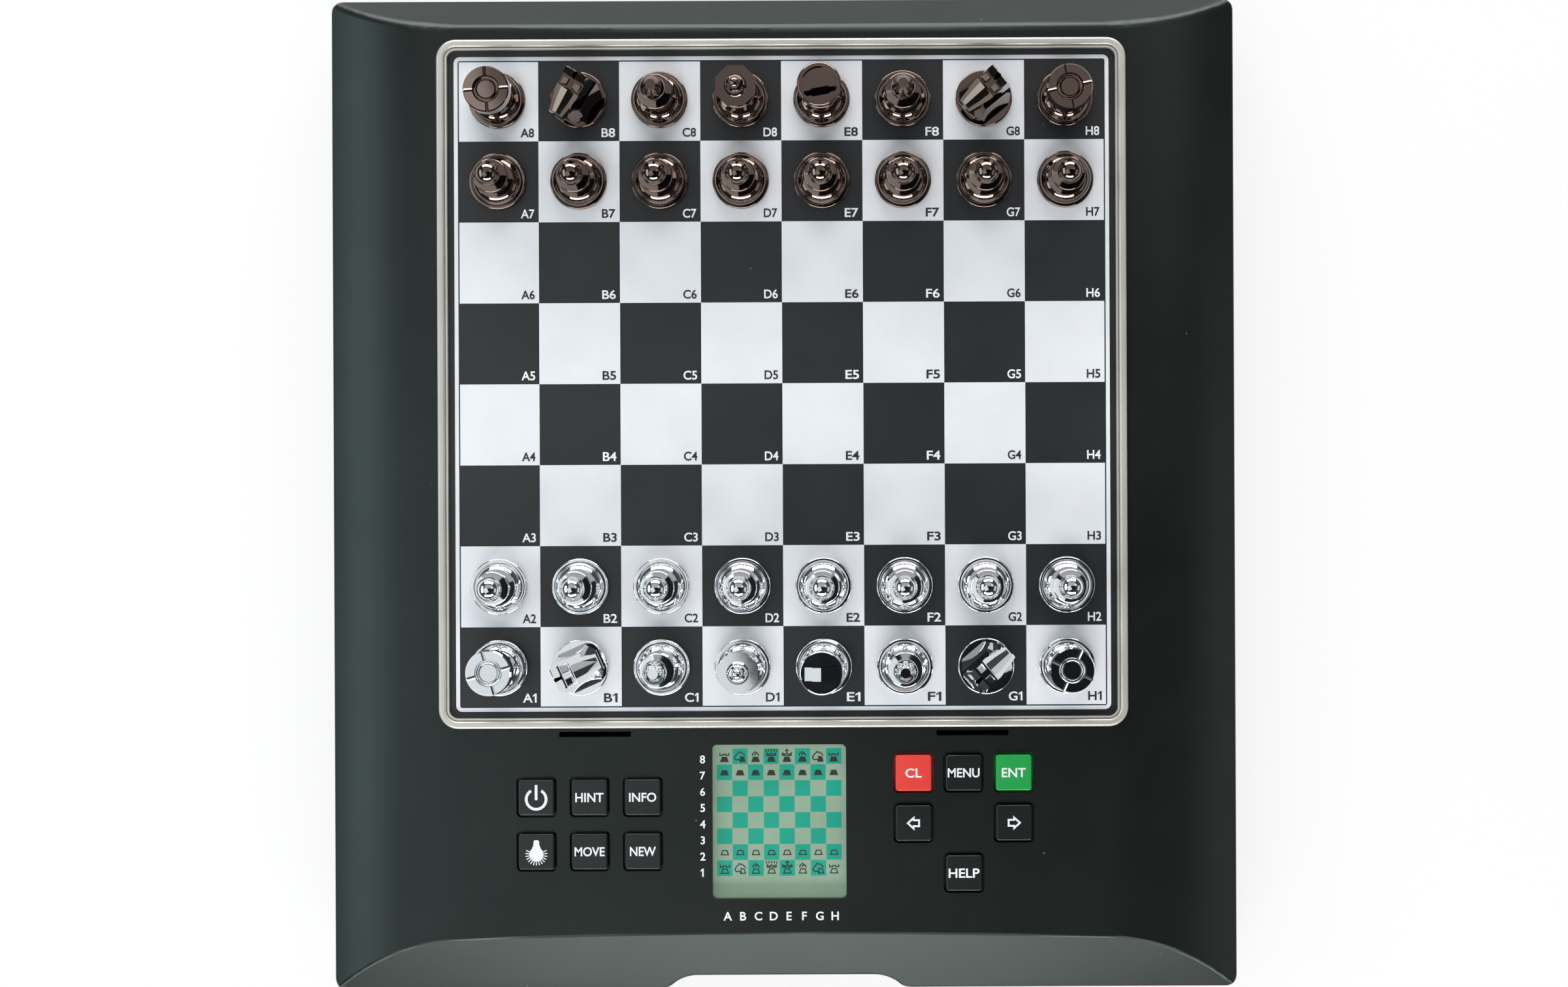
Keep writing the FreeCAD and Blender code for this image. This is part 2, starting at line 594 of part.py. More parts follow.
def bottom_case():
    """Lower shell: floor, walls, drawer rails, battery bay and screw bosses."""
    top = PARTING_Z - PARTING_GAP
    form = notched_plan(FLOOR_Z, top)
    low = [edge for edge in form.Edges if all(abs(p.z - FLOOR_Z) < TOUCH for p in edge_stops(edge))]
    form = form.makeChamfer(FLOOR_CHAMFER, low)
    inner_corner = max(CORNER_RADIUS - WALL, TONGUE)
    shell = form.cut(slab(CASE_WIDTH - 2 * WALL, CASE_DEPTH - 2 * WALL, inner_corner, 0, 0, FLOOR_TOP_Z, top))

    root_z = FLOOR_TOP_Z - FIT
    bay_wall = BATTERY_WALL
    bay_back = BATTERY_Y + BATTERY_HALF_Y + HATCH_TAB_ROOM
    rail_front = DRAWER_FRONT_Y + WALL
    rail_back = DRAWER_BACK_Y + DRAWER_CLEARANCE
    added = tongue_ring()
    added.append(box(-BATTERY_HALF_X - bay_wall, BATTERY_HALF_X + bay_wall,
                     BATTERY_Y - BATTERY_HALF_Y - bay_wall, bay_back + bay_wall,
                     FLOOR_Z, BATTERY_ROOF_Z + bay_wall))
    for side in (-1, 1):
        rail_x = sorted((side * BAY_HALF, side * (BAY_HALF + RAIL_THICKNESS)))
        added.append(box(*rail_x, rail_front, rail_back, root_z, FLOOR_TOP_Z + RAIL_HEIGHT))
        near, far = (INLET_WIDTH / 2 + gap for gap in (FIT, INLET_RIB))
        rib_x = sorted((INLET_X + side * near, INLET_X + side * far))
        added.append(box(*rib_x, INLET_BACK_Y - INLET_LENGTH, INLET_BACK_Y + FIT, root_z,
                         INLET_Z + INLET_RIB_HEIGHT))
    stop_half = BAY_HALF + RAIL_THICKNESS
    added.append(box(-stop_half, stop_half, rail_back, rail_back + RAIL_THICKNESS,
                     root_z, FLOOR_TOP_Z + RAIL_HEIGHT))
    added.append(box(INLET_X - INLET_WIDTH / 2 - INLET_RIB, INLET_X + INLET_WIDTH / 2 + INLET_RIB,
                     INLET_BACK_Y - INLET_LENGTH, INLET_BACK_Y + FIT, root_z, INLET_Z))
    for x, y in boss_places():
        added.append(column(BOSS_RADIUS, x, y, FLOOR_Z, PARTING_Z))
    shell = shell.fuse(added)

    removed = [
        drawer_bay(FLOOR_TOP_Z, PARTING_Z + 2 * TONGUE_RISE),
        box(-BATTERY_HALF_X, BATTERY_HALF_X, BATTERY_Y - BATTERY_HALF_Y, bay_back,
            FLOOR_TOP_Z, BATTERY_ROOF_Z),
        box(-BATTERY_HALF_X, BATTERY_HALF_X, BATTERY_Y - BATTERY_HALF_Y, BATTERY_Y + BATTERY_HALF_Y,
            0, FLOOR_TOP_Z + FIT),
        box(INLET_X - INLET_WIDTH / 2 - FIT, INLET_X + INLET_WIDTH / 2 + FIT, INLET_BACK_Y - INLET_LENGTH,
            INLET_BACK_Y, INLET_Z, PARTING_Z + 2 * TONGUE_RISE),
        Part.makeCylinder(INLET_OPENING, 2 * WALL, Vector(INLET_X, INLET_BACK_Y, INLET_Z + INLET_AXIS_RISE),
                          Vector(0, 1, 0)),
    ]
    for x, y in boss_places():
        removed.append(column(SCREW_RADIUS + FIT, x, y, 0, PARTING_Z + FIT))
        removed.append(column(SCREW_HEAD_RADIUS + FIT, x, y, 0, SCREW_SEAT_Z))
    for x, y in foot_places():
        removed.append(column(FOOT_RADIUS + FIT, x, y, 0, FLOOR_Z + FOOT_RECESS))
    return shell.cut(removed)


def foot_places():
    """Where the feet stand."""
    side = CASE_WIDTH / 2 - FOOT_INSET_X
    end = CASE_DEPTH / 2 - FOOT_INSET_Y
    return [(x, y) for y in (-end, end) for x in (-side, side)]


def rubber_feet():
    """Four stick-on feet with rounded lower edges."""
    feet = []
    for x, y in foot_places():
        foot = column(FOOT_RADIUS, x, y, 0, FLOOR_Z + FOOT_RECESS)
        low = [edge for edge in foot.Edges if edge.BoundBox.ZMax < TOUCH]
        feet.append(foot.makeFillet(FOOT_RECESS, low))
    return Part.makeCompound(feet)


def case_screws():
    """Six self-tapping screws with cross-slotted heads."""
    screws = []
    head_z = SCREW_SEAT_Z - SCREW_HEAD_HEIGHT
    for x, y in boss_places():
        screw = column(SCREW_HEAD_RADIUS, x, y, head_z, SCREW_SEAT_Z)
        screw = screw.fuse(column(SCREW_RADIUS, x, y, SCREW_SEAT_Z, SCREW_SEAT_Z + SCREW_LENGTH))
        reach = SCREW_HEAD_RADIUS - SCREW_SLOT
        half = SCREW_SLOT / 2
        depth = head_z + SCREW_HEAD_HEIGHT / 2
        across = box(x - reach, x + reach, y - half, y + half, head_z, depth)
        along = box(x - half, x + half, y - reach, y + reach, head_z, depth)
        screws.append(screw.cut([across, along]))
    return Part.makeCompound(screws)


# Playing field
def board_bezel():
    """Silver ring: a rounded band, a fine groove and a low inner lip."""
    top = PANEL_Z + BEZEL_CROWN
    groove_outer = BEZEL_BAND - BEZEL_LIP - BEZEL_GROOVE

    def ring_slab(inset, z0, z1):
        width = BEZEL_OUTER - 2 * inset
        return slab(width, width, max(BEZEL_CORNER - inset, SLOT_WIDTH), 0, BOARD_Y, z0, z1)

    band = ring_slab(0, SURFACE_Z, top).cut(ring_slab(groove_outer, SURFACE_Z, top))
    upper = [edge for edge in band.Edges if edge.BoundBox.ZMin > top - TOUCH]
    band = band.makeFillet(BEZEL_ROUND, upper)
    lip_top = top - BEZEL_LIP_STEP
    lip = ring_slab(groove_outer, SURFACE_Z, lip_top).cut(ring_slab(BEZEL_BAND, SURFACE_Z, lip_top))
    groove = ring_slab(groove_outer, lip_top - BEZEL_GROOVE_DEPTH, lip_top)
    groove = groove.cut(ring_slab(groove_outer + BEZEL_GROOVE, lip_top - BEZEL_GROOVE_DEPTH, lip_top))
    return band.fuse(lip).cut(groove).removeSplitter()


def playing_surface():
    """Printed sheet of the board, with its edges tucked under the ring."""
    return slab(SURFACE_WIDTH, SURFACE_WIDTH, SURFACE_CORNER, 0, BOARD_Y, SENSOR_TOP_Z, SURFACE_Z)


def sensor_matrix():
    """Pressure-sensing sheet with a flat tail that runs down to the circuit board."""
    sheet = slab(SURFACE_WIDTH, SURFACE_WIDTH, SURFACE_CORNER, 0, BOARD_Y, POCKET_Z, SENSOR_TOP_Z)
    tail_y = BOARD_Y - POCKET_WIDTH / 2 + TAIL_INSET
    x0 = TAIL_X - TAIL_WIDTH / 2
    x1 = TAIL_X + TAIL_WIDTH / 2
    pcb_back = CONTROL_Y + PCB_DEPTH / 2
    drop = box(x0, x1, tail_y, tail_y + TAIL_THICKNESS, PCB_TOP_Z, POCKET_Z + TAIL_THICKNESS)
    run = box(x0, x1, pcb_back - TAIL_WIDTH, tail_y + TAIL_THICKNESS, PCB_TOP_Z, PCB_TOP_Z + TAIL_THICKNESS)
    return sheet.fuse([drop, run]).removeSplitter()


# Display, circuit board and keys
def display_window():
    """Clear plate behind the panel opening."""
    width = WINDOW_WIDTH + 2 * LENS_OVERLAP
    depth = WINDOW_DEPTH + 2 * LENS_OVERLAP
    return slab(width, depth, WINDOW_CORNER, WINDOW_X, WINDOW_Y, LENS_Z, LENS_TOP_Z)


def display_panel():
    """Liquid-crystal cell with its backlight, standing on the circuit board."""
    width = WINDOW_WIDTH + 2 * LENS_OVERLAP - 2 * DISPLAY_INSET
    depth = WINDOW_DEPTH + 2 * LENS_OVERLAP - 2 * DISPLAY_INSET
    return box(WINDOW_X - width / 2, WINDOW_X + width / 2, WINDOW_Y - depth / 2, WINDOW_Y + depth / 2,
               PCB_TOP_Z, LENS_Z - LENS_GAP)


def main_pcb():
    """Circuit board with its processor, memory and buzzer on the underside."""
    board = slab(PCB_WIDTH, PCB_DEPTH, PCB_CORNER, PCB_X, CONTROL_Y, PCB_Z, PCB_TOP_Z)
    holes = [column(PIN_RADIUS + PIN_CLEARANCE, x, y, PCB_Z, PCB_TOP_Z) for x, y in post_places()]
    half = CHIP_SIZE / 2
    chip = box(CHIP_X - half, CHIP_X + half, CONTROL_Y - half, CONTROL_Y + half, PCB_Z - CHIP_HEIGHT, PCB_Z)
    memory = box(MEMORY_X - MEMORY_WIDTH / 2, MEMORY_X + MEMORY_WIDTH / 2, CONTROL_Y - MEMORY_DEPTH / 2,
                 CONTROL_Y + MEMORY_DEPTH / 2, PCB_Z - CHIP_HEIGHT, PCB_Z)
    buzzer = column(BUZZER_RADIUS, BUZZER_X, CONTROL_Y, PCB_Z - BUZZER_HEIGHT, PCB_Z)
    return Part.makeCompound([board.cut(holes), chip, memory, buzzer])


def keypad_mat(names):
    """Silicone sheet with one hollow-looking dome under each of the named keys."""
    places = [KEY_PLACES[name] for name in names]
    x0 = min(x for x, y in places) - MAT_MARGIN
    x1 = max(x for x, y in places) + MAT_MARGIN
    y0 = min(y for x, y in places) - MAT_MARGIN
    y1 = max(y for x, y in places) + MAT_MARGIN
    domes = []
    for x, y in places:
        domes.append(Part.makeCone(DOME_BASE_RADIUS, DOME_TOP_RADIUS, DOME_HEIGHT, Vector(x, y, MAT_TOP_Z)))
    return box(x0, x1, y0, y1, PCB_TOP_Z, MAT_TOP_Z).fuse(domes)


def keypad_mats():
    """One mat for each block of keys."""
    left = [name for name, (x, y) in KEY_PLACES.items() if x < WINDOW_X]
    right = [name for name, (x, y) in KEY_PLACES.items() if x > WINDOW_X]
    return Part.makeCompound([keypad_mat(left), keypad_mat(right)])


def key(x, y):
    """Square key cap with softened top edges and a flange that keeps it under the panel."""
    top = PANEL_Z + KEY_PROUD
    cap = slab(KEY_SIZE, KEY_SIZE, KEY_CORNER, x, y, FLANGE_TOP_Z, top)
    cap = cap.makeFillet(KEY_BEVEL, [edge for edge in cap.Edges if edge.BoundBox.ZMin > top - TOUCH])
    return cap.fuse(slab(KEY_FLANGE, KEY_FLANGE, KEY_CORNER, x, y, FLANGE_Z, FLANGE_TOP_Z))


# Drawer
def piece_drawer():
    """Tray with two compartments and a recessed finger pull in its front."""
    half = DRAWER_WIDTH / 2
    middle_y = (DRAWER_FRONT_Y + DRAWER_BACK_Y) / 2
    tray = slab(DRAWER_WIDTH, DRAWER_LENGTH, DRAWER_CORNER, 0, middle_y, DRAWER_Z, DRAWER_TOP_Z)
    front = DRAWER_FRONT_Y + DRAWER_WALL
    back = DRAWER_BACK_Y - DRAWER_WALL
    wells = []
    for side in (-1, 1):
        well_x = sorted((side * DRAWER_WALL / 2, side * (half - DRAWER_WALL)))
        wells.append(box(*well_x, front, back, DRAWER_Z + DRAWER_FLOOR, DRAWER_TOP_Z + DRAWER_FLOOR))
    tray = tray.cut(wells)
    pull_z = (DRAWER_Z + DRAWER_TOP_Z - PULL_HEIGHT) / 2
    boxed = box(-PULL_WIDTH / 2 - DRAWER_WALL, PULL_WIDTH / 2 + DRAWER_WALL, DRAWER_FRONT_Y + DRAWER_WALL / 2,
                DRAWER_FRONT_Y + PULL_DEPTH + DRAWER_WALL, DRAWER_Z, pull_z + PULL_HEIGHT + DRAWER_WALL)
    hollow = box(-PULL_WIDTH / 2, PULL_WIDTH / 2, DRAWER_FRONT_Y, DRAWER_FRONT_Y + PULL_DEPTH,
                 pull_z, pull_z + PULL_HEIGHT)
    return tray.fuse(boxed).cut(hollow).removeSplitter()


# Batteries, hatch and power inlet
def cell_rows():
    """Front-to-back place of each cell."""
    first = BATTERY_Y - (CELL_COUNT - 1) * CELL_PITCH / 2
    return [first + count * CELL_PITCH for count in range(CELL_COUNT)]


def batteries():
    """Round cells lying side by side, each turned round from its neighbour."""
    cells = []
    for count, y in enumerate(cell_rows()):
        side = 1 if count % 2 else -1
        body_length = CELL_LENGTH - CELL_NUB_LENGTH
        along = Vector(side, 0, 0)
        can = Part.makeCylinder(CELL_RADIUS, body_length, Vector(-side * CELL_LENGTH / 2, y, CELL_Z), along)
        nub_x = side * (CELL_LENGTH / 2 - CELL_NUB_LENGTH)
        nub = Part.makeCylinder(CELL_NUB_RADIUS, CELL_NUB_LENGTH, Vector(nub_x, y, CELL_Z), along)
        cells.append(can.fuse(nub))
    return Part.makeCompound(cells)


def battery_contacts():
    """Leaf contact with a pressed bump at both ends of each cell."""
    contacts = []
    for y in cell_rows():
        for side in (-1, 1):
            wall = side * BATTERY_HALF_X
            leaf_x = sorted((wall, wall - side * CONTACT_THICKNESS))
            leaf = box(*leaf_x, y - CONTACT_WIDTH / 2, y + CONTACT_WIDTH / 2,
                       CELL_Z - CONTACT_HEIGHT / 2, CELL_Z + CONTACT_HEIGHT / 2)
            bump = Part.makeCone(CONTACT_BUMP_RADIUS, CONTACT_BUMP_RADIUS / 2, CONTACT_ROOM - LENS_GAP,
                                 Vector(wall, y, CELL_Z), Vector(-side, 0, 0))
            contacts.append(leaf.fuse(bump))
    return Part.makeCompound(contacts)


def battery_cover():
    """Flush hatch in the floor with two tabs over the casing at its back edge."""
    side = BATTERY_HALF_X - HATCH_CLEARANCE
    front = BATTERY_Y - BATTERY_HALF_Y + HATCH_CLEARANCE
    top = FLOOR_Z + HATCH_THICKNESS
    plate = box(-side, side, front, HATCH_BACK_Y, FLOOR_Z, top)
    tab_z = FLOOR_TOP_Z + FIT
    tabs = []
    for end in (-1, 1):
        x = end * HATCH_TAB_SPREAD / 2
        half = HATCH_TAB_WIDTH / 2
        tabs.append(box(x - half, x + half, HATCH_BACK_Y - HATCH_TAB_LENGTH, HATCH_BACK_Y,
                        FLOOR_Z, tab_z + HATCH_TAB_THICKNESS))
        tabs.append(box(x - half, x + half, HATCH_BACK_Y - HATCH_TAB_LENGTH, HATCH_BACK_Y + HATCH_TAB_LENGTH,
                        tab_z, tab_z + HATCH_TAB_THICKNESS))
    grip = slab(HATCH_GRIP_WIDTH, HATCH_GRIP_DEPTH, HATCH_GRIP_DEPTH / 4, 0, front + 2 * HATCH_GRIP_DEPTH,
                FLOOR_Z, FLOOR_Z + HATCH_GRIP_CUT)
    return plate.fuse(tabs).cut(grip).removeSplitter()


def dc_socket():
    """Power inlet: a block with a round bore and a centre pin, against the back wall."""
    body = box(INLET_X - INLET_WIDTH / 2, INLET_X + INLET_WIDTH / 2,
               INLET_BACK_Y - INLET_LENGTH, INLET_BACK_Y, INLET_Z, INLET_Z + INLET_HEIGHT)
    mouth = Vector(INLET_X, INLET_BACK_Y, INLET_Z + INLET_AXIS_RISE)
    bore = Part.makeCylinder(INLET_BORE, INLET_BORE_DEPTH, mouth, Vector(0, -1, 0))
    pin = Part.makeCylinder(INLET_PIN, INLET_BORE_DEPTH, mouth, Vector(0, -1, 0))
    return body.cut(bore.cut(pin))


# Chess pieces, each standing on its own origin
def base_outline():
    """Foot shared by every piece, from the axis up to the top of its skirt."""
    return [
        (0, 0),
        (BASE_RADIUS - BASE_CHAMFER, 0),
        (BASE_RADIUS, BASE_CHAMFER),
        (BASE_RADIUS, BASE_RIM),
        (SHOULDER_RADIUS + BASE_CHAMFER, SHOULDER_Z, BASE_CHAMFER / 3),
        (SHOULDER_RADIUS, SHOULDER_Z),
        (SKIRT_RADIUS, SKIRT_Z, SKIRT_BULGE),
    ]


def stem_outline(foot_radius, neck_radius, neck_z, collar_radius, collar=1.0):
    """Hollowed stem from the skirt up to a rounded collar."""
    step = BASE_CHAMFER
    return [
        (SKIRT_RADIUS + step, SKIRT_Z + step),
        (SKIRT_RADIUS + step, STEM_Z - step, step / 2),
        (foot_radius, STEM_Z),
        (neck_radius, neck_z, -(foot_radius - neck_radius) / 2),
        (collar_radius, neck_z + step),
        (collar_radius, neck_z + step + collar, collar / 3),
        (neck_radius, neck_z + 2 * step + collar),
    ]


def ball_bulge(radius, reach):
    """Bulge of the arc that runs from a ball's neck, at some radius, over to its top."""
    dip = math.asin(reach / radius)
    return radius * (1 - math.cos((math.pi - dip) / 2))


def pawn():
    """Collar and round head."""
    neck = SKIRT_RADIUS / 2
    centre = PAWN_HEIGHT - PAWN_BALL_RADIUS
    outline = base_outline()
    outline += stem_outline(SKIRT_RADIUS - 2 * BASE_CHAMFER, neck, PAWN_NECK_Z, PAWN_COLLAR_RADIUS)
    outline.append((neck, centre - math.sqrt(PAWN_BALL_RADIUS ** 2 - neck ** 2)))
    outline.append((0, PAWN_HEIGHT, ball_bulge(PAWN_BALL_RADIUS, neck)))
    return lathe(outline)


def rook():
    """Turret with a round well and four fine grooves in its flat top."""
    neck = SKIRT_RADIUS - BASE_CHAMFER
    turret_z = ROOK_HEIGHT - ROOK_TURRET
    outline = base_outline() + [
        (SKIRT_RADIUS + BASE_CHAMFER, SKIRT_Z + BASE_CHAMFER),
        (SKIRT_RADIUS + BASE_CHAMFER, STEM_Z),
        (neck, turret_z - ROOK_WELL, -2 * BASE_CHAMFER),
        (ROOK_TURRET_RADIUS, turret_z + BASE_CHAMFER),
        (ROOK_TURRET_RADIUS, ROOK_HEIGHT - BASE_CHAMFER),
        (ROOK_TURRET_RADIUS - BASE_CHAMFER, ROOK_HEIGHT),
        (ROOK_WELL_RADIUS, ROOK_HEIGHT),
        (ROOK_WELL_RADIUS, ROOK_HEIGHT - ROOK_WELL + ROOK_WELL_ROUND),
        (ROOK_DISC_RADIUS, ROOK_HEIGHT - ROOK_WELL + ROOK_WELL_ROUND, -ROOK_WELL_ROUND),
        (ROOK_DISC_RADIUS, ROOK_HEIGHT - BASE_CHAMFER),
        (0, ROOK_HEIGHT - BASE_CHAMFER),
    ]
    start = ROOK_WELL_RADIUS - BASE_CHAMFER
    groove_stops = [Vector(start, -ROOK_GROOVE, ROOK_HEIGHT + ROOK_GROOVE_DEPTH),
                    Vector(start, ROOK_GROOVE, ROOK_HEIGHT + ROOK_GROOVE_DEPTH),
                    Vector(start, 0, ROOK_HEIGHT - ROOK_GROOVE_DEPTH)]
    grooves = []
    for quarter in range(4):
        groove = polygon_prism(groove_stops, Vector(BASE_RADIUS, 0, 0))
        groove.rotate(Vector(0, 0, 0), Vector(0, 0, 1), 90 * quarter)
        grooves.append(groove)
    return lathe(outline).cut(grooves)


def bishop():
    """Mitre with a flat tip and a slanting slit."""
    neck = SKIRT_RADIUS / 2
    outline = base_outline()
    outline += stem_outline(SKIRT_RADIUS - BASE_CHAMFER, neck, BISHOP_NECK_Z, BISHOP_COLLAR_RADIUS)
    start = outline[-1][1] + BASE_CHAMFER
    outline.append((neck, start))
    outline.append((BISHOP_TIP_RADIUS, BISHOP_HEIGHT, BISHOP_MITRE_RADIUS - (neck + BISHOP_TIP_RADIUS) / 2))
    outline.append((0, BISHOP_HEIGHT))
    slit = box(BISHOP_SLIT, BASE_RADIUS, -BASE_RADIUS, BASE_RADIUS, -BISHOP_SLIT / 2, BISHOP_SLIT / 2)
    slit.rotate(Vector(0, 0, 0), Vector(0, 1, 0), -BISHOP_SLIT_TILT)
    slit.translate(Vector(0, 0, (start + BISHOP_HEIGHT) / 2))
    return lathe(outline).cut(slit)


def queen():
    """Eight-sided coronet round a hollowed hub with a ball on it."""
    neck = SKIRT_RADIUS / 2 + BASE_CHAMFER
    ball_neck = QUEEN_BALL_RADIUS - BASE_CHAMFER
    ball_z = QUEEN_HEIGHT - QUEEN_BALL_RADIUS - math.sqrt(QUEEN_BALL_RADIUS ** 2 - ball_neck ** 2)
    hub_z = QUEEN_CORONET_Z - BASE_CHAMFER
    outline = base_outline()
    outline += stem_outline(SKIRT_RADIUS - BASE_CHAMFER, neck, QUEEN_NECK_Z, QUEEN_COLLAR_RADIUS)
    crown_z = outline[-1][1]
    outline += [
        (neck, hub_z),
        (QUEEN_HUB_RADIUS, hub_z),
        (ball_neck, ball_z, -QUEEN_HUB_DISH),
        (0, QUEEN_HEIGHT, ball_bulge(QUEEN_BALL_RADIUS, ball_neck)),
    ]
    wires = []
    for radius, z in ((neck + BASE_CHAMFER, crown_z), (QUEEN_CORONET_RADIUS, QUEEN_CORONET_Z)):
        sector = 2 * math.pi / QUEEN_CORONET_SIDES
        angles = [(count + 0.5) * sector for count in range(QUEEN_CORONET_SIDES)]
        stops = [Vector(radius * math.cos(a), radius * math.sin(a), z) for a in angles]
        wires.append(Part.makePolygon(stops + stops[:1]))
    coronet = Part.makeLoft(wires, True, True)
    return coronet.fuse(lathe(outline)).removeSplitter()


def king():
    """Cup-shaped crown with a stout cross whose tops are slightly pitched."""
    neck = SKIRT_RADIUS / 2 + 2 * BASE_CHAMFER
    well_z = KING_CUP_Z - KING_WELL
    outline = base_outline()
    outline += stem_outline(SKIRT_RADIUS - BASE_CHAMFER, neck, KING_NECK_Z, KING_COLLAR_RADIUS)
    outline += [
        (KING_CUP_RADIUS, KING_CUP_Z - 2 * KING_WELL / 3, -BASE_CHAMFER),
        (KING_CUP_RADIUS - BASE_CHAMFER, KING_CUP_Z, BASE_CHAMFER / 2),
        (KING_WELL_RADIUS, KING_CUP_Z),
        (KING_WELL_RADIUS, well_z),
        (0, well_z),
    ]
    bar_top = KING_CROSS_BAR_Z + KING_CROSS_BAR
    parts = []
    for span, foot_z, top_z in ((KING_UPRIGHT, well_z - BASE_CHAMFER, KING_HEIGHT),
                                (KING_CROSS_SPAN, KING_CROSS_BAR_Z, bar_top)):
        eaves_z = top_z - KING_CROSS_PITCH
        half = span / 2
        stops = [(-half, foot_z), (half, foot_z), (half, eaves_z), (0, top_z), (-half, eaves_z)]
        parts.append(polygon_prism([Vector(x, -KING_CROSS_THICKNESS / 2, z) for x, z in stops],
                                   Vector(0, KING_CROSS_THICKNESS, 0)))
    return lathe(outline).fuse(parts).removeSplitter()


def knight():
    """Faceted horse that looks along +X: a side outline trimmed from above and in front, on a foot."""
    foot = lathe(base_outline()[:-1] + [(0, SHOULDER_Z)])
    low = SHOULDER_Z - BASE_CHAMFER
    half = KNIGHT_WIDTH / 2
    nose = KNIGHT_NOSE_WIDTH / 2
    spread = KNIGHT_BODY_WIDTH / 2
    side_stops = [(-7.4, low), (-7.4, 5.0), (-6.4, 15.0), (-5.6, 22.4), (-4.8, KNIGHT_HEIGHT), (-3.0, 24.6),
                  (-2.8, 22.6), (0.2, 22.6), (0.4, 22.0), (8.4, 18.6), (8.8, 16.0), (7.0, 14.0), (3.6, 14.6),
                  (3.2, KNIGHT_JAW_Z), (7.0, 5.0), (7.4, low)]
    plan_stops = [(-BASE_RADIUS, -half), (0.4, -half), (BASE_RADIUS, -nose),
                  (BASE_RADIUS, nose), (0.4, half), (-BASE_RADIUS, half)]
    front_stops = [(-spread, low), (-half, 15.0), (BASE_CHAMFER - half, KNIGHT_HEIGHT),
                   (half - BASE_CHAMFER, KNIGHT_HEIGHT), (half, 15.0), (spread, low)]
    horse = polygon_prism([Vector(x, -spread, z) for x, z in side_stops], Vector(0, KNIGHT_BODY_WIDTH, 0))
    front = polygon_prism([Vector(-2 * spread, y, z) for y, z in front_stops], Vector(4 * spread, 0, 0))
    head = polygon_prism([Vector(x, y, KNIGHT_JAW_Z) for x, y in plan_stops], Vector(0, 0, KNIGHT_HEIGHT))
    body = column(KNIGHT_BODY_RADIUS, 0, 0, low, KNIGHT_JAW_Z + BASE_CHAMFER)
    gap = KNIGHT_EAR_GAP / 2
    ear_z = KNIGHT_HEIGHT - 2 * KNIGHT_EAR_GAP
    ears = polygon_prism([Vector(-BASE_RADIUS, 0, ear_z), Vector(-BASE_RADIUS, -gap, KNIGHT_HEIGHT + gap),
                          Vector(-BASE_RADIUS, gap, KNIGHT_HEIGHT + gap)], Vector(2 * BASE_RADIUS, 0, 0))
    return foot.fuse(horse.common(front).common(head.fuse(body)).cut(ears)).removeSplitter()


PIECE_MAKERS = {"pawn": pawn, "rook": rook, "knight": knight, "bishop": bishop, "queen": queen, "king": king}


def chess_set():
    """Every piece on its starting square, by name."""
    shapes = {kind: make() for kind, make in PIECE_MAKERS.items()}
    placed = {}
    for colour, back_rank, pawn_rank in (("white", 1, 2), ("black", RANKS, RANKS - 1)):
        for count, kind in enumerate(BACK_RANK):
            for rank, shape_kind in ((back_rank, kind), (pawn_rank, "pawn")):
                name = f"{colour}_{shape_kind}_{FILE_LETTERS[count]}{rank}"
                x = (count - (RANKS - 1) / 2) * SQUARE
                y = BOARD_Y + (rank - (RANKS + 1) / 2) * SQUARE
                facing = Rotation(Vector(0, 0, 1), PIECE_TURNS.get(name, 0))
                piece = shapes[shape_kind].copy()
                piece.Placement = FreeCAD.Placement(Vector(x, y, SURFACE_Z), facing)
                placed[name] = piece
    return placed


def build():
    """All pieces by node name."""
    parts = {
        "top_case": top_case(),
        "bottom_case": bottom_case(),
        "board_bezel": board_bezel(),
        "playing_surface": playing_surface(),
        "sensor_matrix": sensor_matrix(),
        "display_window": display_window(),
        "display_panel": display_panel(),
        "main_pcb": main_pcb(),
        "keypad_mats": keypad_mats(),
        "dc_socket": dc_socket(),
        "battery_cover": battery_cover(),
        "batteries": batteries(),
        "battery_contacts": battery_contacts(),
        "rubber_feet": rubber_feet(),
        "case_screws": case_screws(),
        "piece_drawer": piece_drawer(),
    }
    for name, (x, y) in KEY_PLACES.items():
        parts[name] = key(x, y)
    parts.update(chess_set())
    return parts


os.makedirs("parts", exist_ok=True)
for node, shape in build().items():
    shape.exportStep(f"parts/{node}.step")
    print(f"{node}: {len(shape.Solids)} solids, {shape.Volume / 1000:.2f} cm3, valid {shape.isValid()}")
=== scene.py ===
# %% [markdown]
# # A chess computer with a board, a small display, twelve keys and a chromed set
# The solid parts come from the imported model and stay where they are. This lesson adds what the solids
# can't hold: the prints, the picture on the display, the key legends, fine facets on the knights, the metal
# of the inlet, new key mats with their domes, the finishes, the light and the camera. Everything is in
# metres, with sizes written in millimetres and turned into metres by MM.

# %% Load the imported part
import math

import bmesh
import bpy
from mathutils import Matrix, Vector


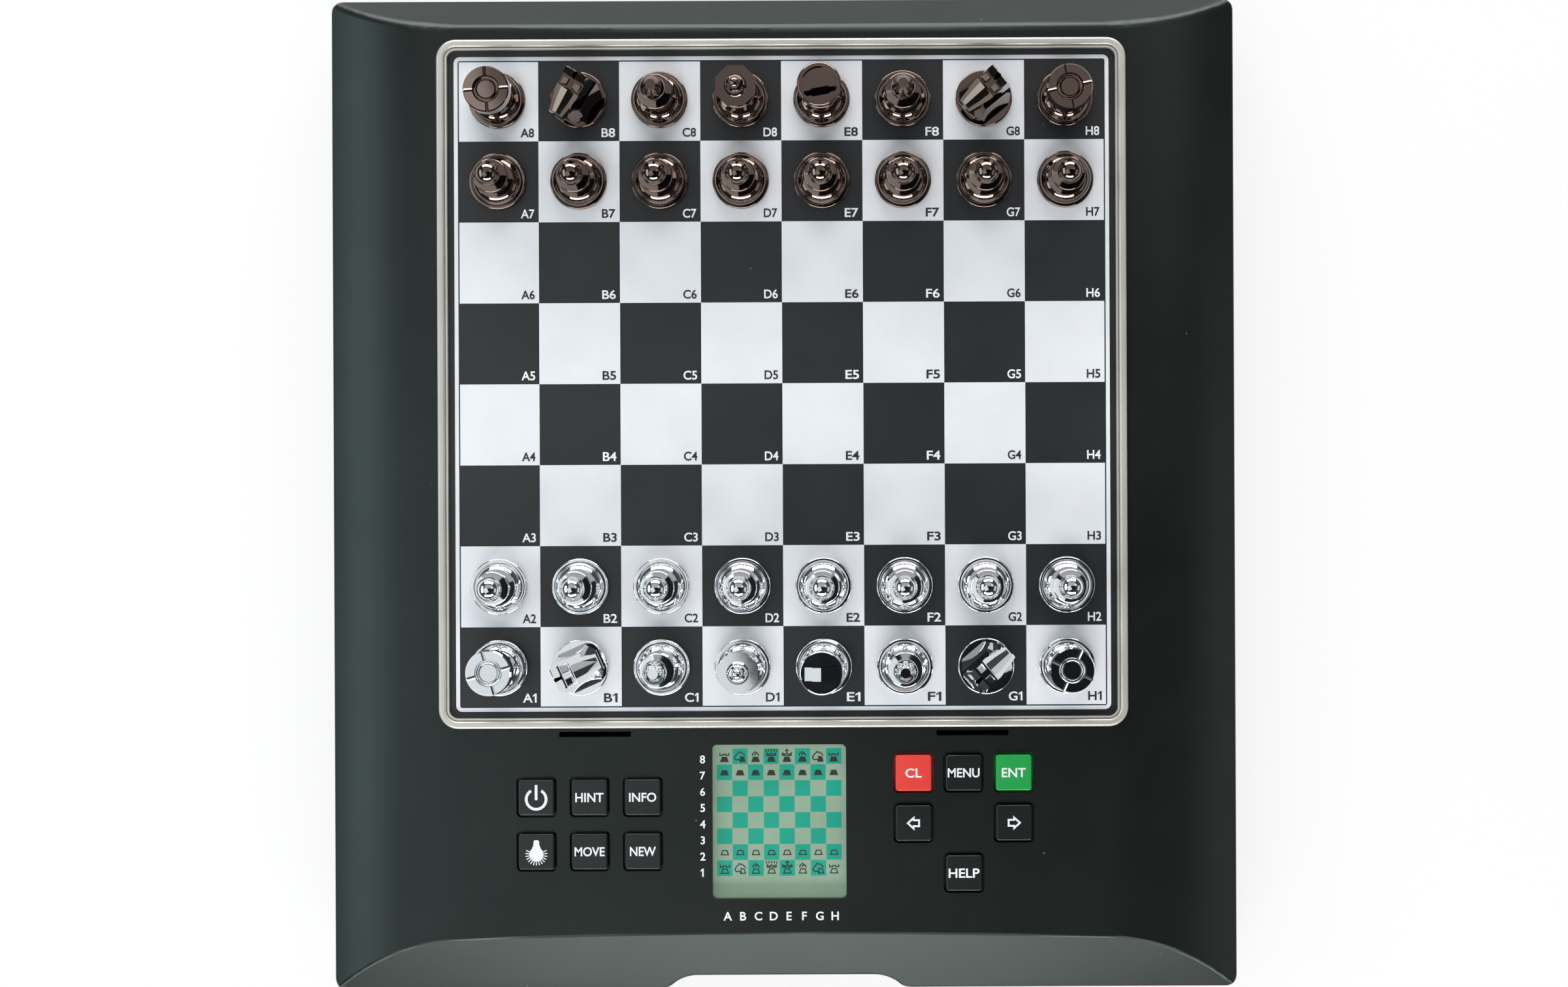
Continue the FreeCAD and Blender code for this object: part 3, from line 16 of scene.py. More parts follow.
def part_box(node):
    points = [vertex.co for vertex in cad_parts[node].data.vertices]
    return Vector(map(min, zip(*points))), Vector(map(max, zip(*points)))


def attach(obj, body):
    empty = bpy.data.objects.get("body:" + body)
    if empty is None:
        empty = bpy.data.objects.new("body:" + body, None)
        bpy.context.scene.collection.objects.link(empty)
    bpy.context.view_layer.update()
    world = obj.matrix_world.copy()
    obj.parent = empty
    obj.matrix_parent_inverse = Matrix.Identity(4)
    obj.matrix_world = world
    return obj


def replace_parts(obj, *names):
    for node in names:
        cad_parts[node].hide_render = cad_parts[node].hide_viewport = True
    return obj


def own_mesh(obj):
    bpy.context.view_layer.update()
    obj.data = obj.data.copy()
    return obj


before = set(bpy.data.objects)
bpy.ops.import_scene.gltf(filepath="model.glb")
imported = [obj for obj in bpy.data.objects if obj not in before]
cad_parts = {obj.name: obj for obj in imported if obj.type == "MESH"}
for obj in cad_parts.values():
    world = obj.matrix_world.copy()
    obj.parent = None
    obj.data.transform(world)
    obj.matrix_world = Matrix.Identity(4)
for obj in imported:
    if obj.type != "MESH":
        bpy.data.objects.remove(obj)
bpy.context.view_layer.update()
MM = 0.001
print("CAD nodes:", len(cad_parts))

# %% [markdown]
# ## Shared hands
# Three small helpers keep the later cells short. One turns a colour as a screen shows it into the linear
# colour that Blender's sockets take. One starts a material. One turns a finished bmesh into a piece that
# rides a body of the part.

# %% Helpers for colours, materials and pieces
CASING = "casing"
GAMMA_CUT = 0.04045
GAMMA_SLOPE = 12.92
GAMMA_OFFSET = 0.055
GAMMA_POWER = 2.4


def screen(red, green, blue):
    """Linear colour with full alpha from 0 to 255 screen levels."""
    linear = []
    for level in (red, green, blue):
        share = level / 255
        if share <= GAMMA_CUT:
            linear.append(share / GAMMA_SLOPE)
        else:
            linear.append(((share + GAMMA_OFFSET) / (1 + GAMMA_OFFSET)) ** GAMMA_POWER)
    return (*linear, 1.0)


def start_finish(name):
    """New material, with its node tree and its Principled shader."""
    finish = bpy.data.materials.new(name)
    finish.use_nodes = True
    tree = finish.node_tree
    return finish, tree, tree.nodes["Principled BSDF"]


def make_piece(name, shape, finish, body):
    """Object from a finished bmesh, with a finish in its material slot, riding a body."""
    mesh = bpy.data.meshes.new(name)
    shape.to_mesh(mesh)
    shape.free()
    mesh.materials.append(finish)
    piece = bpy.data.objects.new(name, mesh)
    bpy.context.scene.collection.objects.link(piece)
    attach(piece, body)
    print(name, "faces:", len(mesh.polygons), "rides:", body)
    return piece


# %% [markdown]
# ## Camera
# The photograph looks straight down from about 0.7 m above the top panel. The image is 2400 pixels wide and
# a millimetre on the panel covers about 4.96 of them, which fixes the lens once the height is chosen. The
# tops of the chessmen lean away from a point right of the middle, so the camera stands there and its lens
# is shifted back, apart from the 0.4 mm by which the object lies left of the frame's middle. The camera is
# also turned a quarter of a degree, because the real object lies a little turned.

# %% Camera over the panel
PANEL_Z = 37.0 * MM
CAMERA_HEIGHT = 700.0 * MM
SENSOR_WIDTH = 36.0
VIEW_WIDTH = 483.6 * MM
VIEW_TURN = math.radians(-0.25)
CAMERA_SIDE = 32.0 * MM
FRAME_SIDE = 0.4 * MM

camera_data = bpy.data.cameras.new("camera_above")
camera_data.sensor_width = SENSOR_WIDTH
camera_data.lens = SENSOR_WIDTH * CAMERA_HEIGHT / VIEW_WIDTH
camera_data.shift_x = (FRAME_SIDE - CAMERA_SIDE) / VIEW_WIDTH
camera = bpy.data.objects.new("camera_above", camera_data)
camera.location = (CAMERA_SIDE, 0, PANEL_Z + CAMERA_HEIGHT)
camera.rotation_euler = (0, 0, VIEW_TURN)
bpy.context.scene.collection.objects.link(camera)
bpy.context.scene.camera = camera
bpy.context.scene.view_settings.view_transform = "Standard"
print("lens in mm:", round(camera_data.lens, 2))

# %% [markdown]
# ## Floor
# The object lies on a plain white table. A large plane is enough, and its material shows white to the
# camera and to mirrors, while the light that falls on it still carries the soft shadow under the casing.
# Seen from below the plane is clear, so that the underside can be looked at too.

# %% White table
FLOOR_SIZE = 6.0
FLOOR_COLOUR = screen(236, 236, 236)
FLOOR_GLOW = 0.8
FLOOR_ROUGHNESS = 0.9


def add_sum(tree, first, second):
    """Math node that adds two sockets, kept within 0 and 1."""
    node = tree.nodes.new("ShaderNodeMath")
    node.operation = "ADD"
    node.use_clamp = True
    tree.links.new(first, node.inputs[0])
    tree.links.new(second, node.inputs[1])
    return node.outputs[0]


def seen_directly(tree):
    """One for rays that show the background: from the camera, in mirrors and through glass."""
    path = tree.nodes.new("ShaderNodeLightPath")
    mirrored = add_sum(tree, path.outputs["Is Camera Ray"], path.outputs["Is Glossy Ray"])
    return add_sum(tree, mirrored, path.outputs["Is Transmission Ray"])


def table_finish():
    """White table top that glows for the camera and keeps its shadow."""
    finish, tree, shader = start_finish("table_white")
    shader.inputs["Base Color"].default_value = FLOOR_COLOUR
    shader.inputs["Roughness"].default_value = FLOOR_ROUGHNESS
    glow = tree.nodes.new("ShaderNodeEmission")
    share = tree.nodes.new("ShaderNodeMath")
    share.operation = "MULTIPLY"
    share.inputs[1].default_value = FLOOR_GLOW
    tree.links.new(seen_directly(tree), share.inputs[0])
    blend = tree.nodes.new("ShaderNodeMixShader")
    tree.links.new(share.outputs[0], blend.inputs[0])
    tree.links.new(shader.outputs[0], blend.inputs[1])
    tree.links.new(glow.outputs[0], blend.inputs[2])
    side = tree.nodes.new("ShaderNodeNewGeometry")
    clear = tree.nodes.new("ShaderNodeBsdfTransparent")
    cover = tree.nodes.new("ShaderNodeMixShader")
    tree.links.new(side.outputs["Backfacing"], cover.inputs[0])
    tree.links.new(blend.outputs[0], cover.inputs[1])
    tree.links.new(clear.outputs[0], cover.inputs[2])
    tree.links.new(cover.outputs[0], tree.nodes["Material Output"].inputs["Surface"])
    return finish


floor_shape = bmesh.new()
bmesh.ops.create_grid(floor_shape, x_segments=1, y_segments=1, size=FLOOR_SIZE / 2)
floor_mesh = bpy.data.meshes.new("table_top")
floor_shape.to_mesh(floor_mesh)
floor_shape.free()
floor_mesh.materials.append(table_finish())
table_top = bpy.data.objects.new("table_top", floor_mesh)
bpy.context.scene.collection.objects.link(table_top)
print("table:", FLOOR_SIZE, "m wide")

# %% [markdown]
# ## Light
# The sloping front and back of the black casing look grey in the photograph, while the flat panel stays
# dark and turns bluish on the left. So two strong low soft boxes stand in front and behind, pale blue ones
# hang on the left, a wide weak one hangs overhead at the back, and two small weak ones are all that lights
# the right. The dark patch overhead at the front right gives the chromed pieces their contrast. A box's
# brightness is its power over pi and its area.

# %% Soft boxes and the dim room
SOFT_BOXES = {
    "box_front": {"place": (0.0, -1.08, 0.66), "size": (1.5, 0.36), "power": 17.6,
                  "tint": (1.0, 1.0, 0.99)},
    "box_back": {"place": (0.0, 1.1, 0.42), "size": (1.5, 0.5), "power": 18.4,
                 "tint": (1.0, 0.99, 0.97)},
    "box_left": {"place": (-0.57, -0.25, 1.4), "size": (1.12, 1.0), "power": 3.3,
                 "tint": (0.93, 0.99, 1.0)},
    "box_left_low": {"place": (-1.15, 0.0, 0.75), "size": (1.2, 0.5), "power": 4.8,
                     "tint": (0.8, 0.97, 1.0)},
    "box_rear": {"place": (0.0, 0.75, 1.35), "size": (1.9, 1.0), "power": 2.6,
                 "tint": (1.0, 1.0, 1.0)},
    "box_right_rear": {"place": (1.05, 0.55, 1.4), "size": (0.55, 0.55), "power": 0.8,
                       "tint": (1.0, 1.0, 1.0)},
    "box_right": {"place": (1.15, -0.2, 0.6), "size": (0.8, 0.5), "power": 0.8,
                  "tint": (1.0, 0.98, 0.95)},
}
ROOM_LOW = screen(92, 95, 98)
ROOM_HIGH = screen(26, 29, 32)
BACKDROP = screen(255, 255, 255)


def hang_soft_box(name, place, size, power, tint):
    """Rectangular lamp at a place, aimed at the middle of the casing."""
    lamp = bpy.data.lights.new(name, "AREA")
    lamp.shape = "RECTANGLE"
    lamp.size, lamp.size_y = size
    lamp.energy = power
    lamp.color = tint
    holder = bpy.data.objects.new(name, lamp)
    holder.location = place
    holder.rotation_euler = Vector(place).to_track_quat("Z", "Y").to_euler()
    holder.visible_camera = False
    bpy.context.scene.collection.objects.link(holder)


def dim_room():
    """World that the camera sees as white, and that lights the object as a dim room."""
    world = bpy.data.worlds.new("dim_room")
    world.use_nodes = True
    tree = world.node_tree
    place = tree.nodes.new("ShaderNodeTexCoord")
    parts = tree.nodes.new("ShaderNodeSeparateXYZ")
    tree.links.new(place.outputs["Generated"], parts.inputs[0])
    ramp = tree.nodes.new("ShaderNodeValToRGB")
    ramp.color_ramp.elements[0].color = ROOM_LOW
    ramp.color_ramp.elements[1].color = ROOM_HIGH
    tree.links.new(parts.outputs["Z"], ramp.inputs[0])
    tree.links.new(ramp.outputs[0], tree.nodes["Background"].inputs["Color"])
    backdrop = tree.nodes.new("ShaderNodeBackground")
    path = tree.nodes.new("ShaderNodeLightPath")
    blend = tree.nodes.new("ShaderNodeMixShader")
    tree.links.new(path.outputs["Is Camera Ray"], blend.inputs[0])
    tree.links.new(tree.nodes["Background"].outputs[0], blend.inputs[1])
    tree.links.new(backdrop.outputs[0], blend.inputs[2])
    tree.links.new(blend.outputs[0], tree.nodes["World Output"].inputs["Surface"])
    backdrop.inputs["Color"].default_value = BACKDROP
    return world


for box_name, settings in SOFT_BOXES.items():
    hang_soft_box(box_name, **settings)
bpy.context.scene.world = dim_room()
print("soft boxes:", len(SOFT_BOXES))

# %% [markdown]
# ## Effects that several finishes share
# Moulded plastic is never one flat colour: the mould leaves a fine grain, the resin is a little cloudy, and
# hands leave duller and shinier patches. Two node groups hold these effects. They only put out numbers that
# vary over the surface, and every material places them with its own sizes.

# %% Grain and handling as node groups
GRAIN_DETAIL = 2.0
CLOUD_DETAIL = 4.0
PATCH_DETAIL = 2.0
MIDDLE_NOISE = (0.3, 0.7)
WIDE_NOISE = (0.2, 0.8)
SPECK_SPACING = 9.0 * MM
SPECK_EDGE = (0.02, 0.045)
SPECK_CHOICE = (0.86, 0.87)


def start_group(name, inputs, outputs):
    """Empty shader group with named number sockets, and its input, output and coordinate nodes."""
    group = bpy.data.node_groups.new(name, "ShaderNodeTree")
    for label in inputs:
        group.interface.new_socket(label, in_out="INPUT", socket_type="NodeSocketFloat")
    for label in outputs:
        group.interface.new_socket(label, in_out="OUTPUT", socket_type="NodeSocketFloat")
    entry = group.nodes.new("NodeGroupInput")
    leave = group.nodes.new("NodeGroupOutput")
    place = group.nodes.new("ShaderNodeTexCoord")
    return group, entry, leave, place.outputs["Object"]


def noise(tree, place, scale, detail):
    """Noise texture read at a place, with its scale from a socket."""
    node = tree.nodes.new("ShaderNodeTexNoise")
    node.inputs["Detail"].default_value = detail
    tree.links.new(place, node.inputs["Vector"])
    tree.links.new(scale, node.inputs["Scale"])
    return node.outputs["Fac"]


def spread(tree, value, low, high, to_low=0.0, to_high=1.0):
    """Map Range node that stretches a value from one range to another and stops at its ends."""
    node = tree.nodes.new("ShaderNodeMapRange")
    tree.links.new(value, node.inputs["Value"])
    for label, number in (("From Min", low), ("From Max", high), ("To Min", to_low), ("To Max", to_high)):
        node.inputs[label].default_value = number
    return node.outputs["Result"]


def moulded_grain():
    """Fine pits of a mould as a height, and the slow clouding of the resin as a share."""
    group, entry, leave, place = start_group("moulded_grain", ["Grain Scale", "Cloud Scale"],
                                             ["Height", "Cloud"])
    pits = noise(group, place, entry.outputs["Grain Scale"], GRAIN_DETAIL)
    group.links.new(spread(group, pits, *MIDDLE_NOISE), leave.inputs["Height"])
    cloud = noise(group, place, entry.outputs["Cloud Scale"], CLOUD_DETAIL)
    group.links.new(spread(group, cloud, *MIDDLE_NOISE), leave.inputs["Cloud"])
    return group


def handling_marks():
    """Patches that hands have polished, and sparse specks of dust."""
    group, entry, leave, place = start_group("handling_marks", ["Patch Scale", "Speck Scale"],
                                             ["Patch", "Speck"])
    patch = noise(group, place, entry.outputs["Patch Scale"], PATCH_DETAIL)
    group.links.new(spread(group, patch, *WIDE_NOISE), leave.inputs["Patch"])
    cells = group.nodes.new("ShaderNodeTexVoronoi")
    group.links.new(place, cells.inputs["Vector"])
    group.links.new(entry.outputs["Speck Scale"], cells.inputs["Scale"])
    near = spread(group, cells.outputs["Distance"], *SPECK_EDGE, 1.0, 0.0)
    chosen = group.nodes.new("ShaderNodeSeparateColor")
    group.links.new(cells.outputs["Color"], chosen.inputs[0])
    rare = spread(group, chosen.outputs[0], *SPECK_CHOICE)
    both = group.nodes.new("ShaderNodeMath")
    both.operation = "MULTIPLY"
    group.links.new(near, both.inputs[0])
    group.links.new(rare, both.inputs[1])
    group.links.new(both.outputs[0], leave.inputs["Speck"])
    return group


GRAIN = moulded_grain()
HANDLING = handling_marks()
print("groups:", GRAIN.name, HANDLING.name)

# %% [markdown]
# ## One way to build a finish
# Plastics, rubbers, inks and metals differ in numbers more than in kind. One function places both groups,
# lets the cloud shift the colour between two near tones, lets the handling change the roughness, and turns
# the grain into a bump. Each finish then only gives its own colours and sizes.

# %% Builder for grained finishes


def place_group(tree, group, **values):
    """Group node with its inputs set; a blank in a socket's name is written as an underscore."""
    node = tree.nodes.new("ShaderNodeGroup")
    node.node_tree = group
    for label, number in values.items():
        node.inputs[label.replace("_", " ")].default_value = number
    return node


def two_tones(tree, value, first, second):
    """Colour ramp from one colour to another."""
    ramp = tree.nodes.new("ShaderNodeValToRGB")
    ramp.color_ramp.elements[0].color = first
    ramp.color_ramp.elements[1].color = second
    tree.links.new(value, ramp.inputs[0])
    return ramp.outputs[0]


def lay_over(tree, share, under, over):
    """Mix node that lays a colour over another by a share."""
    node = tree.nodes.new("ShaderNodeMix")
    node.data_type = "RGBA"
    colour_inputs = [socket for socket in node.inputs if socket.type == "RGBA"]
    colour_output = next(socket for socket in node.outputs if socket.type == "RGBA")
    tree.links.new(share, node.inputs["Factor"])
    for socket, colour in zip(colour_inputs, (under, over)):
        if isinstance(colour, bpy.types.NodeSocket):
            tree.links.new(colour, socket)
        else:
            socket.default_value = colour
    return colour_output


def handled(tree, shader, patch_mm, roughness):
    """Handling group whose patches, with a size in millimetres, vary the roughness; returns its node."""
    marks = place_group(tree, HANDLING, Patch_Scale=1 / (patch_mm * MM), Speck_Scale=1 / SPECK_SPACING)
    tree.links.new(spread(tree, marks.outputs["Patch"], 0, 1, *roughness), shader.inputs["Roughness"])
    return marks


DUST = screen(96, 99, 97)


def grained_finish(name, tones, roughness, grain_mm, depth_mm, cloud_mm=30.0, metallic=0.0,
                   specular=0.5, dusty=False, patch_mm=22.0, gloss_tint=(1.0, 1.0, 1.0, 1.0)):
    """Finish with two tones, a roughness range, a grain size and a grain depth in millimetres."""
    finish, tree, shader = start_finish(name)
    grain = place_group(tree, GRAIN, Grain_Scale=1 / (grain_mm * MM), Cloud_Scale=1 / (cloud_mm * MM))
    marks = handled(tree, shader, patch_mm, roughness)
    colour = two_tones(tree, grain.outputs["Cloud"], *tones)
    if dusty:
        colour = lay_over(tree, marks.outputs["Speck"], colour, DUST)
    tree.links.new(colour, shader.inputs["Base Color"])
    bump = tree.nodes.new("ShaderNodeBump")
    bump.inputs["Distance"].default_value = depth_mm * MM
    tree.links.new(grain.outputs["Height"], bump.inputs["Height"])
    tree.links.new(bump.outputs["Normal"], shader.inputs["Normal"])
    shader.inputs["Metallic"].default_value = metallic
    shader.inputs["Specular IOR Level"].default_value = specular
    shader.inputs["Specular Tint"].default_value = gloss_tint
    return finish


# %% [markdown]
# ## Casing, keys, trim and inner parts
# The casing is black plastic with a soft satin skin. The keys come from another tool and look a touch
# shinier. The ring round the board is plastic in satin silver, and the parts under the panel get the plain
# finish of such parts, because some of them show once the drawer or the hatch is open.

# %% Plain finishes
case_black = grained_finish("case_black", (screen(15, 17, 16), screen(21, 23, 22)), roughness=(0.31, 0.35),
                            grain_mm=0.45, depth_mm=0.003, specular=0.42, dusty=True,
                            gloss_tint=(0.84, 1.0, 0.96, 1.0))
inner_black = grained_finish("inner_black", (screen(26, 27, 28), screen(33, 34, 35)), roughness=(0.45, 0.6),
                             grain_mm=0.6, depth_mm=0.02)
key_black = grained_finish("key_black", (screen(19, 21, 21), screen(24, 26, 26)), roughness=(0.26, 0.34),
                           grain_mm=0.35, depth_mm=0.008)
key_red = grained_finish("key_red", (screen(222, 62, 55), screen(232, 70, 62)), roughness=(0.3, 0.38),
                         grain_mm=0.35, depth_mm=0.008)
key_green = grained_finish("key_green", (screen(30, 152, 70), screen(36, 162, 76)), roughness=(0.3, 0.38),
                           grain_mm=0.35, depth_mm=0.008)
silver_satin = grained_finish("silver_satin", (screen(200, 196, 190), screen(210, 206, 201)),
                              roughness=(0.4, 0.48), grain_mm=0.3, depth_mm=0.0012, metallic=0.6)
mat_grey = grained_finish("mat_grey", (screen(118, 121, 124), screen(130, 133, 136)), roughness=(0.55, 0.7),
                          grain_mm=0.8, depth_mm=0.02)
foot_black = grained_finish("foot_black", (screen(24, 24, 25), screen(32, 32, 33)), roughness=(0.75, 0.9),
                            grain_mm=0.5, depth_mm=0.06)
nickel = grained_finish("nickel", (screen(196, 190, 178), screen(208, 203, 193)), roughness=(0.16, 0.3),
                        grain_mm=0.5, depth_mm=0.004, metallic=1.0)
screw_steel = grained_finish("screw_steel", (screen(150, 150, 152), screen(172, 172, 174)),
                             roughness=(0.25, 0.42), grain_mm=0.4, depth_mm=0.01, metallic=1.0)
print("finishes so far:", len(bpy.data.materials))

# %% [markdown]
# ## Chrome of the two sets
# Both sets are moulded in plastic and metallised in a vacuum. One side is bright, the other smoked brown.
# Such a skin is a mirror, but the plastic under it sinks a little, so a very shallow slow bump makes the
# reflections swim as they do in the photograph, and finger marks dull it in places.

# %% Bright and smoked chrome
bright_chrome = grained_finish("bright_chrome", (screen(222, 223, 226), screen(230, 231, 234)),
                               roughness=(0.03, 0.075), grain_mm=3.5, depth_mm=0.0005, metallic=1.0,
                               patch_mm=6.0)
smoked_chrome = grained_finish("smoked_chrome", (screen(114, 99, 92), screen(126, 110, 102)),
                               roughness=(0.03, 0.08), grain_mm=3.5, depth_mm=0.0005, metallic=1.0,
                               patch_mm=6.0)
print("chrome finishes:", bright_chrome.name, smoked_chrome.name)

# %% [markdown]
# ## Board sheet and its inks
# The playing surface is a black film with white squares printed on it. Film and ink share a satin skin with
# faint clouding and a few specks of dust.

# %% Film and ink finishes
film_black = grained_finish("film_black", (screen(31, 32, 34), screen(36, 37, 39)), roughness=(0.32, 0.42),
                            grain_mm=0.5, depth_mm=0.004, dusty=True)
ink_white = grained_finish("ink_white", (screen(221, 223, 229), screen(228, 230, 235)),
                           roughness=(0.34, 0.44), grain_mm=0.5, depth_mm=0.003, cloud_mm=18.0)
ink_label_white = grained_finish("ink_label_white", (screen(232, 234, 238), screen(240, 241, 244)),
                                 roughness=(0.4, 0.5), grain_mm=0.3, depth_mm=0.002)
ink_label_dark = grained_finish("ink_label_dark", (screen(34, 36, 40), screen(42, 44, 48)),
                                roughness=(0.4, 0.5), grain_mm=0.3, depth_mm=0.002)
sensor_amber = grained_finish("sensor_amber", (screen(150, 98, 34), screen(166, 112, 44)),
                              roughness=(0.3, 0.4), grain_mm=0.6, depth_mm=0.004)
print("inks and films ready")

# %% [markdown]
# ## Circuit board
# The board under the panel is green solder mask with copper lines showing through. A brick texture gives a
# net of straight lines at right angles, which reads as tracks, and the mask lies glossy over it.

# %% Solder mask with tracks
TRACK_SPACING = 12.0 * MM
TRACK_WIDTH = 0.02
TRACK_RISE = 0.03 * MM
TRACK_GREEN = screen(58, 124, 66)
MASK_GREENS = (screen(16, 74, 40), screen(20, 82, 46))
MASK_ROUGHNESS = (0.2, 0.35)
MASK_PATCH_MM = 15.0


def circuit_finish():
    """Green mask whose tracks are a lighter net, a little raised."""
    finish, tree, shader = start_finish("solder_mask")
    place = tree.nodes.new("ShaderNodeTexCoord")
    tracks = tree.nodes.new("ShaderNodeTexBrick")
    tracks.inputs["Scale"].default_value = 1 / TRACK_SPACING
    tracks.inputs["Mortar Size"].default_value = TRACK_WIDTH
    tracks.inputs["Color1"].default_value = MASK_GREENS[0]
    tracks.inputs["Color2"].default_value = MASK_GREENS[1]
    tracks.inputs["Mortar"].default_value = TRACK_GREEN
    tree.links.new(place.outputs["Object"], tracks.inputs["Vector"])
    tree.links.new(tracks.outputs["Color"], shader.inputs["Base Color"])
    handled(tree, shader, MASK_PATCH_MM, MASK_ROUGHNESS)
    bump = tree.nodes.new("ShaderNodeBump")
    bump.inputs["Distance"].default_value = TRACK_RISE
    tree.links.new(tracks.outputs["Fac"], bump.inputs["Height"])
    tree.links.new(bump.outputs["Normal"], shader.inputs["Normal"])
    return finish


solder_mask = circuit_finish()
print("circuit board finish:", solder_mask.name)

# %% [markdown]
# ## Battery jackets
# The three cells lie side by side and point in turn to the left and to the right. Their jackets are black
# with a copper end at the plus pole. The row number decides which end that is, so the material works it out
# from the place of each point, and no cell needs its own material.

# %% Jacket with a copper end
CELL_PITCH = 15.0 * MM
CELL_ROWS_START = 70.0 * MM
COPPER_START = 12.0 * MM
COPPER_FADE = 0.2 * MM
COPPER_METALLIC = 0.7
COPPER = screen(186, 116, 72)
JACKET_BLACK = screen(30, 30, 32)
JACKET_ROUGHNESS = (0.22, 0.34)
JACKET_PATCH_MM = 10.0


def jacket_finish():
    """Black jacket, copper towards the plus end of each cell."""
    finish, tree, shader = start_finish("battery_jacket_print")
    place = tree.nodes.new("ShaderNodeTexCoord")
    parts = tree.nodes.new("ShaderNodeSeparateXYZ")
    tree.links.new(place.outputs["Object"], parts.inputs[0])

    def step(operation, value, number):
        node = tree.nodes.new("ShaderNodeMath")
        node.operation = operation
        tree.links.new(value, node.inputs[0])
        node.inputs[1].default_value = number
        return node.outputs[0]

    row = step("DIVIDE", step("SUBTRACT", parts.outputs["Y"], CELL_ROWS_START), CELL_PITCH)
    odd = step("MODULO", step("FLOOR", row, 0), 2)
    side = step("MULTIPLY_ADD", odd, 2)
    side.node.inputs[2].default_value = -1
    along = tree.nodes.new("ShaderNodeMath")
    along.operation = "MULTIPLY"
    tree.links.new(parts.outputs["X"], along.inputs[0])
    tree.links.new(side, along.inputs[1])
    copper = spread(tree, along.outputs[0], COPPER_START, COPPER_START + COPPER_FADE)
    colour = lay_over(tree, copper, JACKET_BLACK, COPPER)
    tree.links.new(colour, shader.inputs["Base Color"])
    tree.links.new(spread(tree, copper, 0, 1, 0.0, COPPER_METALLIC), shader.inputs["Metallic"])
    handled(tree, shader, JACKET_PATCH_MM, JACKET_ROUGHNESS)
    return finish


jacket = jacket_finish()
print("battery finish:", jacket.name)

# %% [markdown]
# ## Display window and display
# A clear acrylic window lies over the display. Seen from straight above it hardly shows, and it gleams at a
# low angle, so its opacity follows the viewing angle. The display is given a faint painted glow in its own
# grey green, which lifts it over the shade in the window's recess, and its backing has a fine grain.

# %% Window and display finishes
CLEAR_FACE = 0.05
CLEAR_EDGE = 0.5
CLEAR_BLEND = 0.3
ACRYLIC_TINT = screen(20, 24, 22)
ACRYLIC_IOR = 1.49
ACRYLIC_ROUGHNESS = (0.04, 0.1)
ACRYLIC_PATCH_MM = 14.0
# strength of the painted glow that lifts the display over the shade in the window's recess
DISPLAY_PAINTED_GLOW = 0.5
DISPLAY_GRAIN = 0.25 * MM
DISPLAY_CLOUD = 16.0 * MM
DISPLAY_ROUGHNESS = (0.4, 0.55)


def window_finish():
    """Clear acrylic: nearly see-through from the front, gleaming at a low angle."""
    finish, tree, shader = start_finish("window_clear")
    shader.inputs["Base Color"].default_value = ACRYLIC_TINT
    shader.inputs["IOR"].default_value = ACRYLIC_IOR
    handled(tree, shader, ACRYLIC_PATCH_MM, ACRYLIC_ROUGHNESS)
    angle = tree.nodes.new("ShaderNodeLayerWeight")
    angle.inputs["Blend"].default_value = CLEAR_BLEND
    opacity = spread(tree, angle.outputs["Facing"], 0, 1, CLEAR_FACE, CLEAR_EDGE)
    tree.links.new(opacity, shader.inputs["Alpha"])
    return finish


def painted_glow_finish(name, *tones):
    """Layer of the display that shows its own colour by a painted glow, which lifts it over shade, and by a
    little room light.
    """
    finish, tree, shader = start_finish(name)
    grain = place_group(tree, GRAIN, Grain_Scale=1 / DISPLAY_GRAIN, Cloud_Scale=1 / DISPLAY_CLOUD)
    colour = two_tones(tree, grain.outputs["Cloud"], *tones)
    tree.links.new(colour, shader.inputs["Base Color"])
    # painted glow: the display's own colour is also given off as light, to even out the shade of the recess
    tree.links.new(colour, shader.inputs["Emission Color"])
    shader.inputs["Emission Strength"].default_value = DISPLAY_PAINTED_GLOW
    matt = spread(tree, grain.outputs["Height"], 0, 1, *DISPLAY_ROUGHNESS)
    tree.links.new(matt, shader.inputs["Roughness"])
    return finish


window_clear = window_finish()
display_grey = painted_glow_finish("display_grey", screen(136, 161, 139), screen(146, 171, 149))
display_teal = painted_glow_finish("display_teal", screen(18, 150, 127), screen(24, 158, 135))
display_ink = painted_glow_finish("display_ink", screen(38, 44, 40), screen(48, 50, 45))
print("display finishes ready")

# %% [markdown]
# ## Finishes for the solids
# Every solid came in with a material named after its slot in the record. A table from slot to finish sets
# them all in one loop.

# %% Give every solid its finish
SLOT_FINISHES = {
    "case_plastic": case_black,
    "silver_trim": silver_satin,
    "board_sheet": film_black,
    "sensor_film": sensor_amber,
    "clear_window": window_clear,
    "display_cell": display_grey,
    "circuit_board": solder_mask,
    "silicone": mat_grey,
    "inner_plastic": inner_black,
    "battery_jacket": jacket,
    "spring_nickel": nickel,
    "foot_rubber": foot_black,
    "screw_steel": screw_steel,
    "black_key": key_black,
    "red_key": key_red,
    "green_key": key_green,
    "white_metallised": bright_chrome,
    "black_metallised": smoked_chrome,
}
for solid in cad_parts.values():
    for holder in solid.material_slots:
        holder.material = SLOT_FINISHES[holder.material.name]
print("solids with a finish:", len(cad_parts))

# %% [markdown]
# ## White squares and the frame line
# The squares are printed, so each is a very thin slab of ink on the film. One grid face per white square is
# placed by a matrix, and a shared helper thickens all faces of a bmesh into closed ink. The outer squares
# stop short of the frame line, where a black key line stays open.

# %% Ink helper and the squares
SQUARE = 25.0 * MM
RANKS = 8
FILES = "ABCDEFGH"
board_low, board_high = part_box("playing_surface")
BOARD_MIDDLE = (board_low + board_high) / 2
BOARD_TOP = board_high.z
INK = 0.03 * MM
PRINT_HALF = 99.5 * MM
HALF_UNIT = 0.5


